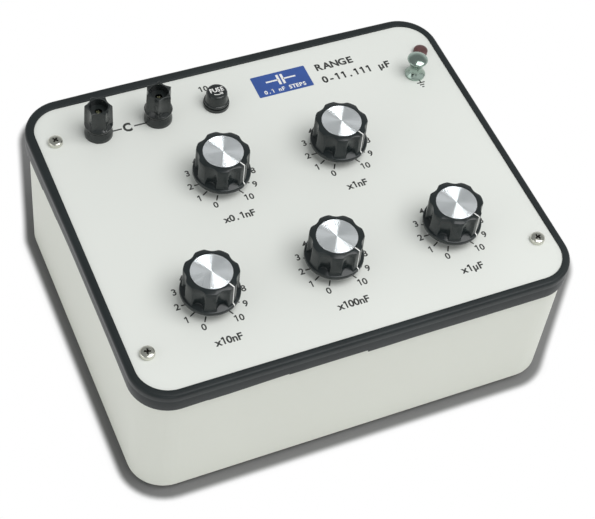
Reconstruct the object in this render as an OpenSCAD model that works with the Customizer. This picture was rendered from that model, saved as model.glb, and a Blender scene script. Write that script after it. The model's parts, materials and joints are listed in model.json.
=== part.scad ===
// Capacitance decade box for the test bench: a cream case with a panel on top that carries
// five rotary decade switches, two binding posts, a fuse holder and an earth terminal.
// The origin is on the table under the middle of the box. X runs along the panel, Y goes to
// the terminals at the back, and Z goes up. Lengths are in millimetres.

/* [Case] */
// Outer width of the case, along X
case_w = 256.5; // [252:0.5:275]
// Outer depth of the case, along Y
case_d = 209.5; // [206:0.5:225]
// Height of the case from its underside to its rim
case_h = 90.5; // [84:0.5:110]
// Thickness of the case walls
case_wall = 2.5; // [2:0.1:3.2]
// Thickness of the case floor
floor_t = 2.5; // [2:0.1:4]
// Outer radius of the case corners, seen from above
case_r = 21; // [16:0.5:24]
// Diameter of the pillars under the panel screws
pillar_d = 9; // [8.4:0.1:10]
// Thickness of the web that ties a pillar to the side wall
web_t = 2.4; // [1.6:0.1:3]

/* [Feet] */
// Height of a rubber foot
foot_h = 4; // [3.4:0.1:6]
// Diameter of a rubber foot at the case
foot_d = 16; // [13:0.5:20]
// Distance from the outside of the case to the middle of a foot
foot_inset = 26; // [24:0.5:34]
// Thread diameter of the foot screws
foot_screw_d = 3; // [2.5:0.1:3.5]

/* [Panel] */
// Thickness of the front panel
panel_t = 2; // [1.5:0.1:3]
// Distance from a side of the case to the panel screws, along X
screw_side = 12.75; // [12:0.25:16]
// Distance from the front or back of the case to the panel screws, along Y
screw_end = 28.25; // [26:0.25:31]
// Thread diameter of the panel screws
screw_d = 4; // [3:0.1:4.4]
// Length of the panel screws under the head
screw_len = 12; // [10:0.5:16]
// Head diameter of the panel screws
screw_head_d = 8.3; // [7:0.1:9]
// Head height of the panel screws
screw_head_h = 3.1; // [2.4:0.1:3.4]
// Outer diameter of the threaded inserts
insert_d = 5.6; // [5.2:0.1:6.2]
// Length of the threaded inserts
insert_len = 8; // [6:0.5:9]

/* [Edge trim] */
// Thickness of the trim where it runs down the case wall
trim_wall = 2; // [1:0.1:2.4]
// Width of the panel edge that the trim covers
trim_lip = 3.25; // [2:0.05:4]
// Thickness of the trim above the panel
trim_lip_t = 0.9; // [0.5:0.1:1.5]
// Depth of the trim below the face of the panel
trim_drop = 11.6; // [6:0.1:14]

/* [Decade knobs] */
// Spacing of the knobs along a row
knob_pitch = 72; // [66:0.5:76]
// Place of the front row of knobs along Y
front_row_y = -53.3; // [-56:0.1:-50]
// Place of the back row of knobs along Y
back_row_y = 22; // [18:0.1:25]
// Gap between the face of the panel and the underside of a knob
knob_gap = 6; // [5.6:0.1:8]
// Height of a knob without its disc
knob_h = 16.8; // [15:0.1:19]
// Radius of the knob skirt
skirt_r = 16.5; // [15.8:0.1:17.5]
// Height of the knob skirt
skirt_h = 2.6; // [1.6:0.1:3]
// Radius of the grip at its foot
grip_r = 15.2; // [14.4:0.1:15.6]
// Radius of the grip at its top
grip_top_r = 14.9; // [14.2:0.1:15.1]
// Count of lobes round the grip
lobe_count = 7; // [6:1:9]
// Radius of the flutes between the lobes
flute_r = 4.6; // [3.8:0.1:5.5]
// Distance from the knob axis to the bottom of a flute
flute_floor_r = 12.9; // [12.3:0.1:13.2]
// Radius of the metal disc on the knob
disc_r = 11.5; // [10.5:0.1:11.8]
// Thickness of the metal disc
disc_t = 1; // [0.6:0.1:1.4]
// Depth of the seat of the disc in the knob
disc_seat = 0.3; // [0.2:0.1:0.5]
// Turn from one position of a dial to the next, in degrees
dial_step = 30; // [30:6:36]

/* [Rotary switches] */
// Diameter of the switch shaft
shaft_d = 6; // [5:0.05:6.4]
// Diameter of the threaded bushing
bushing_d = 9.9; // [9.4:0.1:10.4]
// Height of the bushing above the panel
bushing_up = 5; // [4.4:0.1:5.2]
// Width across the flats of the bushing nut
bushing_nut_af = 14; // [13:0.5:16]
// Thickness of the bushing nut
bushing_nut_t = 2.5; // [2:0.1:3]
// Diameter of the index housing
housing_d = 30; // [29:0.5:31]
// Height of the index housing
housing_h = 9; // [8.5:0.1:12]
// Radius of the index wheel
star_r = 9; // [8:0.1:9.2]
// Radius of an index ball
ball_r = 1.2; // [1:0.05:1.3]
// Distance from the outside of the housing to the middle of a tie screw
tie_gap = 2.5; // [2.4:0.1:3]
// Thread diameter of the tie screws
tie_d = 3; // [2.5:0.1:3]
// Diameter of the switch wafers
wafer_d = 44; // [42:0.5:46]
// Thickness of the switch wafers
wafer_t = 1.6; // [1.2:0.1:2]
// Gap between the index plate and the front wafer
front_gap = 8; // [7:0.5:12]
// Gap between the two wafers
wafer_gap = 12; // [8:0.5:16]
// Gap between the rear wafer and the capacitor board
board_gap = 9; // [7:0.5:12]
// Length of a contact lug past the wafer edge
lug_out = 2; // [1:0.1:3]

/* [Capacitors] */
// Width of a capacitor board, along X
board_w = 50; // [49:0.5:51]
// Depth of a capacitor board, along Y
board_d = 52; // [50:0.5:60]
// Thickness of a capacitor board
board_t = 1.6; // [1.2:0.1:2]

/* [Binding posts] */
// Spacing of the two posts and the fuse holder
post_pitch = 36; // [34:0.5:38]
// Distance from the left side of the case to the left post
post_side = 38.25; // [36:0.25:42]
// Distance from the back of the case to the posts and the fuse holder
post_back = 28.75; // [27:0.25:31]
// Diameter of the socket in a post
socket_d = 4.1; // [3.6:0.05:4.4]
// Depth of the socket
socket_depth = 8; // [6:0.1:8.2]
// Outer diameter of the stud
stud_d = 6; // [5.6:0.05:6.4]
// Height of the stud above the panel
stud_up = 16.9; // [16.7:0.1:17.5]
// Diameter of the cross hole for bare wire
cross_hole_d = 2.2; // [1.6:0.1:2.4]
// Diameter of the post base
post_base_d = 16.4; // [14:0.1:18]
// Height of the post base
post_base_h = 5; // [4.5:0.1:6]
// Diameter of the neck between the post base and the cap
post_neck_d = 14.4; // [14:0.1:15]
// Diameter of the skirt of the post cap
post_cap_d = 16.4; // [15.8:0.1:17.4]
// Diameter of the post cap at its top
post_top_d = 14.6; // [14.2:0.1:15.2]
// Height of the post cap from its foot to its top
post_cap_h = 15.7; // [15:0.1:18]
// Count of flutes round the post cap
cap_flute_count = 6; // [5:1:7]
// Radius of the flutes of the post cap
cap_flute_r = 8; // [7:0.1:8.2]
// Distance from the axis of the post cap to the bottom of a flute
cap_floor_r = 6; // [5.9:0.1:6.2]
// Diameter of the recess in the top of the post cap
cap_recess_d = 10.4; // [9:0.1:10.6]
// Thickness of the post cap between its recess and the stud
cap_web_t = 1.1; // [0.8:0.1:1.6]

/* [Fuse holder] */
// Diameter of the bezel of the fuse holder
fuse_bezel_d = 15.3; // [14.5:0.1:17]
// Height of the bezel
fuse_bezel_h = 2.2; // [1.6:0.1:3]
// Height of the fuse cap above the bezel
fuse_cap_h = 8.6; // [7:0.1:10]
// Outer diameter of the threaded barrel
barrel_d = 12; // [11.5:0.1:12.6]
// Bore of the barrel
barrel_bore = 8.6; // [8.4:0.1:9]
// Diameter of the fuse cartridge
cartridge_d = 5.2; // [5:0.05:5.3]
// Length of the fuse cartridge
cartridge_len = 20; // [18:0.5:22]

/* [Earth terminal] */
// Distance from the right side of the case to the earth terminal
earth_side = 23.65; // [22:0.05:26]
// Distance from the back of the case to the earth terminal
earth_back = 43.55; // [42:0.05:47]
// Diameter of the foot of the earth nut
earth_foot_d = 12; // [10:0.1:13]
// Diameter of the waist of the earth nut
earth_waist_d = 8; // [7.4:0.1:9]
// Diameter of the head of the earth nut
earth_head_d = 12.4; // [11:0.1:13]
// Height of the earth terminal above the panel
earth_h = 14.6; // [13:0.1:16]
// Diameter of the earth stud
earth_stud_d = 5; // [4.5:0.1:5.5]

/* [Wiring] */
// Diameter of the tinned copper wires
wire_d = 1.4; // [1:0.1:1.8]

/* [Hidden] */
$fn = 64;

// Clearances: seat is for pieces that turn or slide on each other, slip for screws in holes,
// air for moving pieces that pass each other
seat = 0.05;
slip = 0.2;
air = 0.4;
eps = 0.01;

// Heights
floor_z = foot_h + floor_t;
rim_z = foot_h + case_h;
panel_z = rim_z + panel_t;

// Places
foot_x = case_w / 2 - foot_inset;
foot_y = case_d / 2 - foot_inset;
screw_x = case_w / 2 - screw_side;
screw_y = case_d / 2 - screw_end;
post_x = post_side - case_w / 2;
post_y = case_d / 2 - post_back;
earth_x = case_w / 2 - earth_side;
earth_y = case_d / 2 - earth_back;
KNOB_AT = [[-knob_pitch / 2, back_row_y], [knob_pitch / 2, back_row_y],
           [-knob_pitch, front_row_y], [0, front_row_y], [knob_pitch, front_row_y]];
POST_AT = [[post_x, post_y], [post_x + post_pitch, post_y]];
FUSE_AT = [post_x + 2 * post_pitch, post_y];
EARTH_AT = [earth_x, earth_y];
SEALED = [1, 1];

// Trim
trim_fit = 0.05;
trim_step = 0.6;

// Feet and their screws
foot_taper = 1;
foot_head_d = 2 * foot_screw_d;
foot_head_h = 1.8;
foot_cover = 1.2;
foot_nut_t = 2.4;
foot_nut_af = 5.5 / 3 * foot_screw_d;

// Switch stack, from the panel downwards
lock_t = 0.8;
sheet_t = 1.6;
nut_washer_t = 0.8;
flange_t = 1.4;
flange_d = bushing_d + 3;
tie_r = housing_d / 2 + tie_gap;
housing_z = rim_z - lock_t;
index_z = housing_z - housing_h;
wafer1_z = index_z - sheet_t - front_gap;
wafer2_z = wafer1_z - wafer_t - wafer_gap;
board_z = wafer2_z - wafer_t - board_gap;
lug_t = 0.4;
lug_w = 2;
lug_in_r = 9.5;
lug_angle = dial_step / 2;
lug_r = wafer_d / 2 + lug_out;
hub_d = shaft_d + 3.6;
rotor_r = 11.8;
rotor_t = 0.8;
star_t = 2.5;
star_z = index_z + air;
positions = 360 / dial_step;
notch_depth = 0.8;
notch_r = 1.4;
ball_at = star_r + air + ball_r;
housing_in_r = housing_d / 2 - sheet_t;
spring_od = 1.5 * ball_r;
spring_id = ball_r;
spring_from = ball_at + sqrt(ball_r * ball_r - spring_id * spring_id / 4) + eps;
shaft_top = panel_z + knob_gap + knob_h - 3;
shaft_end = wafer2_z - wafer_t - 3;
spacer_d = 5;
tie_nut_t = 2.4;
tie_nut_af = 5.5;
tie_head_t = 1.8;
tie_end = board_z - board_t - tie_nut_t - 1;

// Knob details
knob_z = panel_z + knob_gap;
edge = 0.8;
setscrew_d = 3;
setscrew_len = 5;
setscrew_z = knob_z + 7;
pointer_angle = -60;
disc_z = knob_z + knob_h - disc_seat;

// Width, depth and height of the capacitors of each decade
CAPACITORS = [[11, 5, 9], [13, 6, 12], [18, 7, 13], [22, 10, 16], [24, 15, 22]];

// Binding post, from the panel
collar_t = 0.6;
collar_d = 13;
spigot_d = 9;
insulator_d = 14;
insulator_t = 3;
lug_plate_t = 0.8;
nut_t = 3;
nut_af = stud_d + 4;
tail_w = 4;
tail_len = 15;
sleeve_d = stud_d + 3;
sleeve_flange_d = collar_d;
sleeve_flange_t = 0.9;
sleeve_len = 8;
post_top_z = panel_z + post_base_h + collar_t;
sleeve_z = post_top_z + air;
cap_z = sleeve_z + sleeve_flange_t + air;
cap_throat_d = stud_d + 2 * air;
cap_hole_d = socket_d + 1.5;
cap_rim_h = 1.4;
cap_ledge_h = 2.8;
cap_turn = [-18, 9];
web_z = panel_z + stud_up + air;
cross_z = post_top_z + 1.9;
stud_end = rim_z - insulator_t - lug_plate_t - nut_t - 3;

// Fuse holder, from the panel
fuse_cap_z = panel_z + fuse_bezel_h + air;
clip_d = 7.6;
clip_len = 7;
clip_z = fuse_cap_z - air;
cartridge_z = clip_z - 0.6;
barrel_end = cartridge_z - cartridge_len - 4;
fuse_nut_t = 4;
fuse_nut_af = barrel_d + 4;
fuse_tag_w = 3;
fuse_tag_len = 6;

// Earth terminal, from the panel
earth_flange_t = 1;
earth_washer_z = panel_z + earth_flange_t + air;
earth_washer_t = 0.8;
earth_nut_z = earth_washer_z + earth_washer_t + air;
earth_bore_h = earth_h - 4.4;
earth_end = rim_z - lug_plate_t - nut_t - 3;
earth_nut_af = earth_stud_d + 3;

// Wire routes
bead_d = 1.4 * wire_d;
bus_y = (front_row_y + back_row_y) / 2;
feed_x = 3;
feed_y = post_y - tail_len;
feed_drop = 12;
tag_up = 8;
tap_x = lug_r * sin(lug_angle);
tap_y = lug_r * cos(lug_angle) + lug_w * sin(lug_angle) / 2 + wire_d / 2 * tan(lug_angle);
live_z = wafer1_z + lug_t / 2;
back_z = wafer2_z + lug_t / 2;
lug_z = rim_z - insulator_t - lug_plate_t;
tail_y = post_y - tail_len - wire_d / 2;

CREAM = [0.87, 0.88, 0.85];
BLACK = [0.1, 0.1, 0.1];
STEEL = [0.72, 0.73, 0.74];
BRASS = [0.8, 0.66, 0.32];
RUBBER = [0.22, 0.24, 0.24];
PHENOLIC = [0.5, 0.3, 0.14];

// A plate with round corners, standing on z = 0
module rounded_plate(w, d, r, h) {
    linear_extrude(h) {
        square([w - 2 * r, d], center = true);
        square([w, d - 2 * r], center = true);
        for (x = [-1, 1], y = [-1, 1]) translate([x * (w / 2 - r), y * (d / 2 - r)]) circle(r);
    }
}

// A flat ring, standing on z = 0
module ring(od, id, h) {
    difference() {
        cylinder(d = od, h = h);
        translate([0, 0, -1]) cylinder(d = id, h = h + 2);
    }
}

// A hexagon nut, standing on z = 0
module hex_nut(af, bore, h) {
    difference() {
        cylinder(r = af / 2 / cos(30), h = h, $fn = 6);
        translate([0, 0, -1]) cylinder(d = bore, h = h + 2);
    }
}

// Half outline of a low domed head of diameter d and height h on a straight side
function dome(d, h) = concat([[0, 0], [d / 2, 0]],
    [for (i = [0 : 5]) [d / 2 * cos(i * 18), h * (0.7 + 0.3 * sin(i * 18))]]);

// A pan head machine screw with its head on z = 0 and its thread pointing down
module pan_screw(d, len, head_d, head_h) {
    difference() {
        union() {
            translate([0, 0, -len]) cylinder(d = d, h = len + eps);
            rotate_extrude() polygon(dome(head_d, head_h));
        }
        for (a = [0, 90]) rotate([0, 0, a]) translate([0, 0, head_h])
            cube([head_d * 0.66, head_d * 0.14, head_h], center = true);
    }
}

// A straight run of wire between two points
module wire_run(a, b) {
    v = b - a;
    len = norm(v);
    translate(a) rotate([0, acos(v[2] / len), atan2(v[1], v[0])]) cylinder(d = wire_d, h = len, $fn = 24);
}

// A wire along a list of points, with a bead of solder at each bend
module wire(points) {
    for (i = [0 : len(points) - 2]) wire_run(points[i], points[i + 1]);
    for (i = [1 : len(points) - 2]) translate(points[i]) sphere(d = bead_d, $fn = 24);
}

module at_corners(x, y) {
    for (i = [-1, 1], j = [-1, 1]) translate([i * x, j * y, 0]) children();
}

module at_knobs(list = [0, 1, 2, 3, 4]) {
    for (i = list) translate([KNOB_AT[i][0], KNOB_AT[i][1], 0]) children();
}

module at_posts() {
    for (p = POST_AT) translate([p[0], p[1], 0]) children();
}

// Case
module case_shell() {
    in_w = case_w - 2 * case_wall;
    in_d = case_d - 2 * case_wall;
    web_len = in_w / 2 - screw_x + eps;
    color(CREAM) difference() {
        union() {
            translate([0, 0, foot_h]) difference() {
                rounded_plate(case_w, case_d, case_r, case_h);
                translate([0, 0, floor_t])
                    rounded_plate(in_w, in_d, case_r - case_wall, case_h);
            }
            for (i = [-1, 1], j = [-1, 1]) translate([i * screw_x, j * screw_y, floor_z - eps]) {
                cylinder(d = pillar_d, h = case_h - floor_t + eps);
                translate([i > 0 ? 0 : -web_len, -web_t / 2, 0])
                    cube([web_len, web_t, case_h - floor_t - insert_len]);
            }
        }
        at_corners(screw_x, screw_y) {
            translate([0, 0, rim_z - insert_len]) cylinder(d = insert_d, h = insert_len + 1);
            translate([0, 0, rim_z - screw_len - 2]) cylinder(d = screw_d + slip, h = screw_len);
        }
        at_corners(foot_x, foot_y) translate([0, 0, foot_h - 1])
            cylinder(d = foot_screw_d + slip, h = floor_t + 2);
    }
}

module threaded_inserts() {
    color(BRASS) at_corners(screw_x, screw_y) translate([0, 0, rim_z - insert_len])
        ring(insert_d, screw_d + 2 * seat, insert_len);
}

module rubber_feet() {
    color(RUBBER) at_corners(foot_x, foot_y) difference() {
        cylinder(d1 = foot_d - 2 * foot_taper, d2 = foot_d, h = foot_h);
        translate([0, 0, -1]) cylinder(d = foot_head_d + 2 * slip, h = foot_h - foot_cover + 1);
        cylinder(d = foot_screw_d + slip, h = foot_h + 1);
    }
}

module foot_screws() {
    shank = foot_cover + floor_t + foot_nut_t + 1;
    color(STEEL) at_corners(foot_x, foot_y) {
        translate([0, 0, foot_h - foot_cover]) mirror([0, 0, 1])
            pan_screw(foot_screw_d, shank, foot_head_d, foot_head_h);
        translate([0, 0, floor_z]) hex_nut(foot_nut_af, foot_screw_d + 2 * seat, foot_nut_t);
    }
}

// Panel
module front_panel() {
    color(CREAM) difference() {
        translate([0, 0, rim_z]) rounded_plate(case_w, case_d, case_r, panel_t);
        translate([0, 0, rim_z - 1]) {
            at_corners(screw_x, screw_y) cylinder(d = screw_d + 2 * slip, h = panel_t + 2);
            at_knobs() cylinder(d = bushing_d + slip, h = panel_t + 2);
            at_posts() cylinder(d = spigot_d + slip, h = panel_t + 2);
            translate(FUSE_AT) cylinder(d = barrel_d + slip, h = panel_t + 2);
            translate(EARTH_AT) cylinder(d = earth_stud_d + slip, h = panel_t + 2);
        }
    }
}

module edge_trim() {
    grow = 2 * (trim_fit + trim_wall);
    color(RUBBER) {
        difference() {
            union() {
                translate([0, 0, panel_z - trim_drop])
                    rounded_plate(case_w + grow, case_d + grow, case_r + grow / 2, trim_drop);
                translate([0, 0, panel_z - eps])
                    rounded_plate(case_w + grow - 2 * trim_step, case_d + grow - 2 * trim_step,
                                  case_r + grow / 2 - trim_step, trim_lip_t + eps);
            }
            translate([0, 0, panel_z - trim_drop - 1])
                rounded_plate(case_w + 2 * trim_fit, case_d + 2 * trim_fit, case_r + trim_fit,
                              trim_drop + 1);
            translate([0, 0, panel_z - trim_drop])
                rounded_plate(case_w - 2 * trim_lip, case_d - 2 * trim_lip, case_r - trim_lip,
                              trim_drop + trim_lip_t + 1);
        }
    }
}

module panel_screws() {
    color(STEEL) at_corners(screw_x, screw_y) translate([0, 0, panel_z])
        pan_screw(screw_d, screw_len, screw_head_d, screw_head_h);
}

// Lacquer on the head of the back right screw
module screw_seal() {
    cover = 0.15;
    color([0.35, 0.16, 0.15]) translate([SEALED[0] * screw_x, SEALED[1] * screw_y, panel_z]) difference() {
        rotate_extrude() polygon(dome(screw_head_d + 2 * cover, screw_head_h + cover));
        rotate_extrude() polygon(dome(screw_head_d, screw_head_h));
    }
}

// Rotary switches
module switch_bushings() {
    foot_z = housing_z - sheet_t - flange_t;
    h = panel_z + bushing_up - foot_z;
    color(BRASS) at_knobs() translate([0, 0, foot_z]) difference() {
        union() {
            cylinder(d = bushing_d, h = h);
            cylinder(d = flange_d, h = flange_t);
        }
        translate([0, 0, -1]) cylinder(d = shaft_d + 2 * seat, h = h + 2);
    }
}

module bushing_nuts() {
    color(STEEL) at_knobs() {
        translate([0, 0, housing_z]) ring(bushing_d + 7, bushing_d + 2 * seat, lock_t);
        translate([0, 0, panel_z]) ring(bushing_d + 6, bushing_d + 2 * seat, nut_washer_t);
        translate([0, 0, panel_z + nut_washer_t])
            hex_nut(bushing_nut_af, bushing_d + 2 * seat, bushing_nut_t);
    }
}

module switch_housings() {
    color(STEEL) at_knobs() difference() {
        translate([0, 0, index_z]) cylinder(d = housing_d, h = housing_h);
        translate([0, 0, index_z - 1]) cylinder(r = housing_in_r, h = housing_h - sheet_t + 1);
        translate([0, 0, index_z]) cylinder(d = bushing_d, h = housing_h + 1);
    }
}

module index_plates() {
    color(STEEL) at_knobs() translate([0, 0, index_z - sheet_t]) difference() {
        union() {
            cylinder(d = housing_d, h = sheet_t);
            translate([-tie_r, -spacer_d / 2 - 1, 0]) cube([2 * tie_r, spacer_d + 2, sheet_t]);
            for (i = [-1, 1]) translate([i * tie_r, 0, 0]) cylinder(d = spacer_d + 2, h = sheet_t);
        }
        translate([0, 0, -1]) cylinder(d = shaft_d + 2 * seat, h = sheet_t + 2);
        for (i = [-1, 1]) translate([i * tie_r, 0, -1]) cylinder(d = tie_d + slip, h = sheet_t + 2);
    }
}

// Two spring loaded balls in each housing
module index_springs() {
    color(STEEL) at_knobs() for (a = [90, 270]) rotate([0, 0, a]) translate([0, 0, star_z + star_t / 2]) {
        translate([ball_at, 0, 0]) sphere(ball_r);
        translate([spring_from, 0, 0]) rotate([0, 90, 0])
            ring(spring_od, spring_id, housing_in_r - spring_from - eps);
    }
}

module wafer(z) {
    translate([0, 0, z - wafer_t]) difference() {
        cylinder(d = wafer_d, h = wafer_t);
        translate([0, 0, -1]) cylinder(d = hub_d + 2 * air, h = wafer_t + 2);
        for (i = [-1, 1]) translate([i * tie_r, 0, -1]) cylinder(d = tie_d + slip, h = wafer_t + 2);
    }
}

module switch_wafers() {
    color(PHENOLIC) at_knobs() {
        wafer(wafer1_z);
        wafer(wafer2_z);
    }
}

module switch_contacts() {
    color(BRASS) at_knobs() for (z = [wafer1_z, wafer2_z], k = [0 : positions - 1])
        rotate([0, 0, lug_angle + dial_step * k]) translate([lug_in_r, -lug_w / 2, z])
            cube([lug_r - lug_in_r, lug_w, lug_t]);
}

module wafer_spacers() {
    color(STEEL) at_knobs() for (i = [-1, 1]) translate([i * tie_r, 0, 0]) {
        translate([0, 0, wafer1_z]) ring(spacer_d, tie_d + slip, front_gap);
        translate([0, 0, wafer2_z]) ring(spacer_d, tie_d + slip, wafer_gap);
        translate([0, 0, board_z]) ring(spacer_d, tie_d + slip, board_gap);
    }
}

module tie_screws() {
    color(STEEL) at_knobs() for (i = [-1, 1]) translate([i * tie_r, 0, 0]) {
        translate([0, 0, tie_end]) cylinder(d = tie_d, h = index_z - tie_end + eps);
        translate([0, 0, index_z]) cylinder(d = tie_d + 1.6, h = tie_head_t);
        translate([0, 0, board_z - board_t - tie_nut_t]) hex_nut(tie_nut_af, tie_d + 2 * seat, tie_nut_t);
    }
}

// Capacitors
module capacitor_boards() {
    color([0.18, 0.36, 0.2]) at_knobs() translate([0, 0, board_z - board_t]) difference() {
        translate([-board_w / 2, -board_d / 2, 0]) cube([board_w, board_d, board_t]);
        for (i = [-1, 1]) translate([i * tie_r, 0, -1]) cylinder(d = tie_d + slip, h = board_t + 2);
    }
}

// Four capacitors under the board of one decade
module capacitors(i) {
    size = CAPACITORS[i];
    at_knobs([i]) for (x = [-1, 1], y = [-1, 1])
        translate([x * board_w / 4, y * board_d / 4, board_z - board_t - size[2] / 2])
            cube(size, center = true);
}

module mica_capacitors() {
    color([0.6, 0.36, 0.16]) capacitors(0);
}

module film_capacitors() {
    color([0.72, 0.2, 0.16]) {
        capacitors(1);
        capacitors(2);
    }
}

module large_capacitors() {
    color([0.75, 0.68, 0.2]) {
        capacitors(3);
        capacitors(4);
    }
}

// Moving pieces of one decade
module knob(i) {
    outline = [[0, 0], [skirt_r - edge / 2, 0], [skirt_r, edge / 2], [skirt_r, skirt_h - edge / 2],
        [skirt_r - edge / 2, skirt_h], [grip_r, skirt_h + edge / 2], [grip_top_r, knob_h - edge],
        [disc_r + 2 * seat, knob_h], [disc_r + 2 * seat, knob_h - disc_seat], [0, knob_h - disc_seat]];
    color(BLACK) translate([KNOB_AT[i][0], KNOB_AT[i][1], 0]) difference() {
        translate([0, 0, knob_z]) rotate_extrude() polygon(outline);
        for (k = [0 : lobe_count - 1]) rotate([0, 0, pointer_angle + 360 / lobe_count * (k + 0.5)])
            translate([flute_floor_r + flute_r, 0, knob_z + skirt_h + edge / 4])
                cylinder(r = flute_r, h = knob_h);
        cylinder(d = shaft_d, h = shaft_top);
        rotate([0, 0, pointer_angle + 180]) translate([0, 0, setscrew_z]) rotate([0, 90, 0])
            cylinder(d = setscrew_d, h = skirt_r);
    }
}

module disc(i) {
    color([0.8, 0.8, 0.82]) translate([KNOB_AT[i][0], KNOB_AT[i][1], disc_z]) rotate_extrude()
        polygon([[0, 0], [disc_r, 0], [disc_r, disc_t - 0.2], [disc_r - 0.2, disc_t], [0, disc_t]]);
}

// The shaft, and the set screw that holds the knob on it
module shaft(i) {
    color(STEEL) translate([KNOB_AT[i][0], KNOB_AT[i][1], 0]) {
        translate([0, 0, shaft_end]) cylinder(d = shaft_d, h = shaft_top - shaft_end);
        rotate([0, 0, pointer_angle + 180]) translate([shaft_d / 2 + eps, 0, setscrew_z]) rotate([0, 90, 0])
            cylinder(d = setscrew_d, h = setscrew_len);
    }
}

// The index wheel, and the hub that carries a contact disc over each wafer
module rotor(i) {
    color([0.86, 0.84, 0.78]) translate([KNOB_AT[i][0], KNOB_AT[i][1], 0]) {
        translate([0, 0, star_z]) difference() {
            cylinder(r = star_r, h = star_t);
            translate([0, 0, -1]) cylinder(d = shaft_d, h = star_t + 2);
            for (k = [0 : positions - 1]) rotate([0, 0, dial_step * k])
                translate([star_r - notch_depth + notch_r, 0, -1]) cylinder(r = notch_r, h = star_t + 2);
        }
        difference() {
            union() {
                translate([0, 0, wafer2_z - wafer_t - 1])
                    cylinder(d = hub_d, h = wafer1_z + lug_t + air + rotor_t + 1 - wafer2_z + wafer_t + 1);
                for (z = [wafer1_z, wafer2_z]) translate([0, 0, z + lug_t + air])
                    cylinder(r = rotor_r, h = rotor_t);
            }
            translate([0, 0, shaft_end]) cylinder(d = shaft_d, h = shaft_top - shaft_end);
        }
    }
}

// Binding posts. The top of a base has a seat for the collar of the stud
module post_bases() {
    base = post_base_d / 2;
    neck = post_neck_d / 2;
    color(BLACK) at_posts() difference() {
        union() {
            translate([0, 0, panel_z]) rotate_extrude() polygon([[0, 0], [base, 0], [base, post_base_h * 0.45],
                [neck, post_base_h], [neck, post_base_h + collar_t], [0, post_base_h + collar_t]]);
            translate([0, 0, rim_z]) cylinder(d = spigot_d, h = panel_t + eps);
        }
        translate([0, 0, rim_z - 1]) cylinder(d = stud_d + 2 * seat, h = panel_t + post_base_h + 2);
        translate([0, 0, panel_z + post_base_h]) cylinder(d = collar_d + 2 * seat, h = collar_t + 1);
    }
}

module post_insulators() {
    color(BLACK) at_posts() translate([0, 0, rim_z - insulator_t])
        ring(insulator_d, stud_d + 2 * seat, insulator_t);
}

module post_studs() {
    color(BRASS) at_posts() difference() {
        union() {
            translate([0, 0, stud_end]) cylinder(d = stud_d, h = panel_z + stud_up - stud_end);
            translate([0, 0, panel_z + post_base_h]) cylinder(d = collar_d, h = collar_t);
        }
        translate([0, 0, panel_z + stud_up - socket_depth]) cylinder(d = socket_d, h = socket_depth + 1);
        translate([0, 0, cross_z]) rotate([0, 90, 0])
            cylinder(d = cross_hole_d, h = stud_d + 2, center = true);
    }
}

// Nuts under the panel, on the posts and on the earth stud
module terminal_nuts() {
    color(STEEL) {
        at_posts() translate([0, 0, lug_z - nut_t]) hex_nut(nut_af, stud_d + 2 * seat, nut_t);
        translate([earth_x, earth_y, rim_z - lug_plate_t - nut_t])
            hex_nut(earth_nut_af, earth_stud_d + 2 * seat, nut_t);
    }
}

// A ring of sheet metal with a tail that points to the front
module lug_plate(bore, z) {
    translate([0, 0, z]) difference() {
        union() {
            cylinder(d = bore + 5, h = lug_plate_t);
            translate([-tail_w / 2, -tail_len, 0]) cube([tail_w, tail_len, lug_plate_t]);
        }
        translate([0, 0, -1]) cylinder(d = bore, h = lug_plate_t + 2);
    }
}

module solder_lugs() {
    color(BRASS) {
        at_posts() lug_plate(stud_d + 2 * seat, lug_z);
        translate(EARTH_AT) lug_plate(earth_stud_d + 2 * seat, rim_z - lug_plate_t);
        translate([FUSE_AT[0], FUSE_AT[1], barrel_end]) {
            translate([-fuse_tag_w / 2, -lug_plate_t / 2, -fuse_tag_len])
                cube([fuse_tag_w, lug_plate_t, fuse_tag_len]);
            translate([-barrel_d / 2 - fuse_tag_len, -fuse_tag_w / 2, tag_up])
                cube([fuse_tag_len, fuse_tag_w, lug_plate_t]);
        }
    }
}

// The metal sleeve in a post cap, which carries its thread
module post_insert(k) {
    color(BRASS) translate([POST_AT[k][0], POST_AT[k][1], sleeve_z]) difference() {
        union() {
            cylinder(d = sleeve_flange_d, h = sleeve_flange_t);
            cylinder(d = sleeve_d, h = sleeve_len);
        }
        translate([0, 0, -1]) cylinder(d = stud_d + 2 * seat, h = sleeve_len + 2);
    }
}

// A fluted cap on a round skirt, with a recess in its top and a hole for the plug
module post_cap(k) {
    foot = post_neck_d / 2;
    skirt = post_cap_d / 2;
    top = post_top_d / 2;
    outline = [[0, 0], [foot, 0], [skirt, cap_rim_h], [skirt, cap_rim_h + edge / 2],
        [skirt - edge / 4, cap_rim_h + edge], [top, post_cap_h - edge / 2], [top - edge / 2, post_cap_h],
        [0, post_cap_h]];
    color(BLACK) translate([POST_AT[k][0], POST_AT[k][1], 0]) difference() {
        translate([0, 0, cap_z]) rotate_extrude() polygon(outline);
        for (i = [0 : cap_flute_count - 1]) rotate([0, 0, cap_turn[k] + 360 / cap_flute_count * (i + 0.5)])
            translate([cap_floor_r + cap_flute_r, 0, cap_z + cap_ledge_h])
                cylinder(r = cap_flute_r, h = post_cap_h);
        translate([0, 0, cap_z - 1])
            cylinder(d = sleeve_d + 2 * seat, h = sleeve_z + sleeve_len - cap_z + air + 1);
        translate([0, 0, cap_z - 1]) cylinder(d = cap_throat_d, h = web_z - cap_z + 1);
        translate([0, 0, cap_z]) cylinder(d = cap_hole_d, h = post_cap_h);
        translate([0, 0, web_z + cap_web_t]) cylinder(d = cap_recess_d, h = post_cap_h);
    }
}

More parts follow.
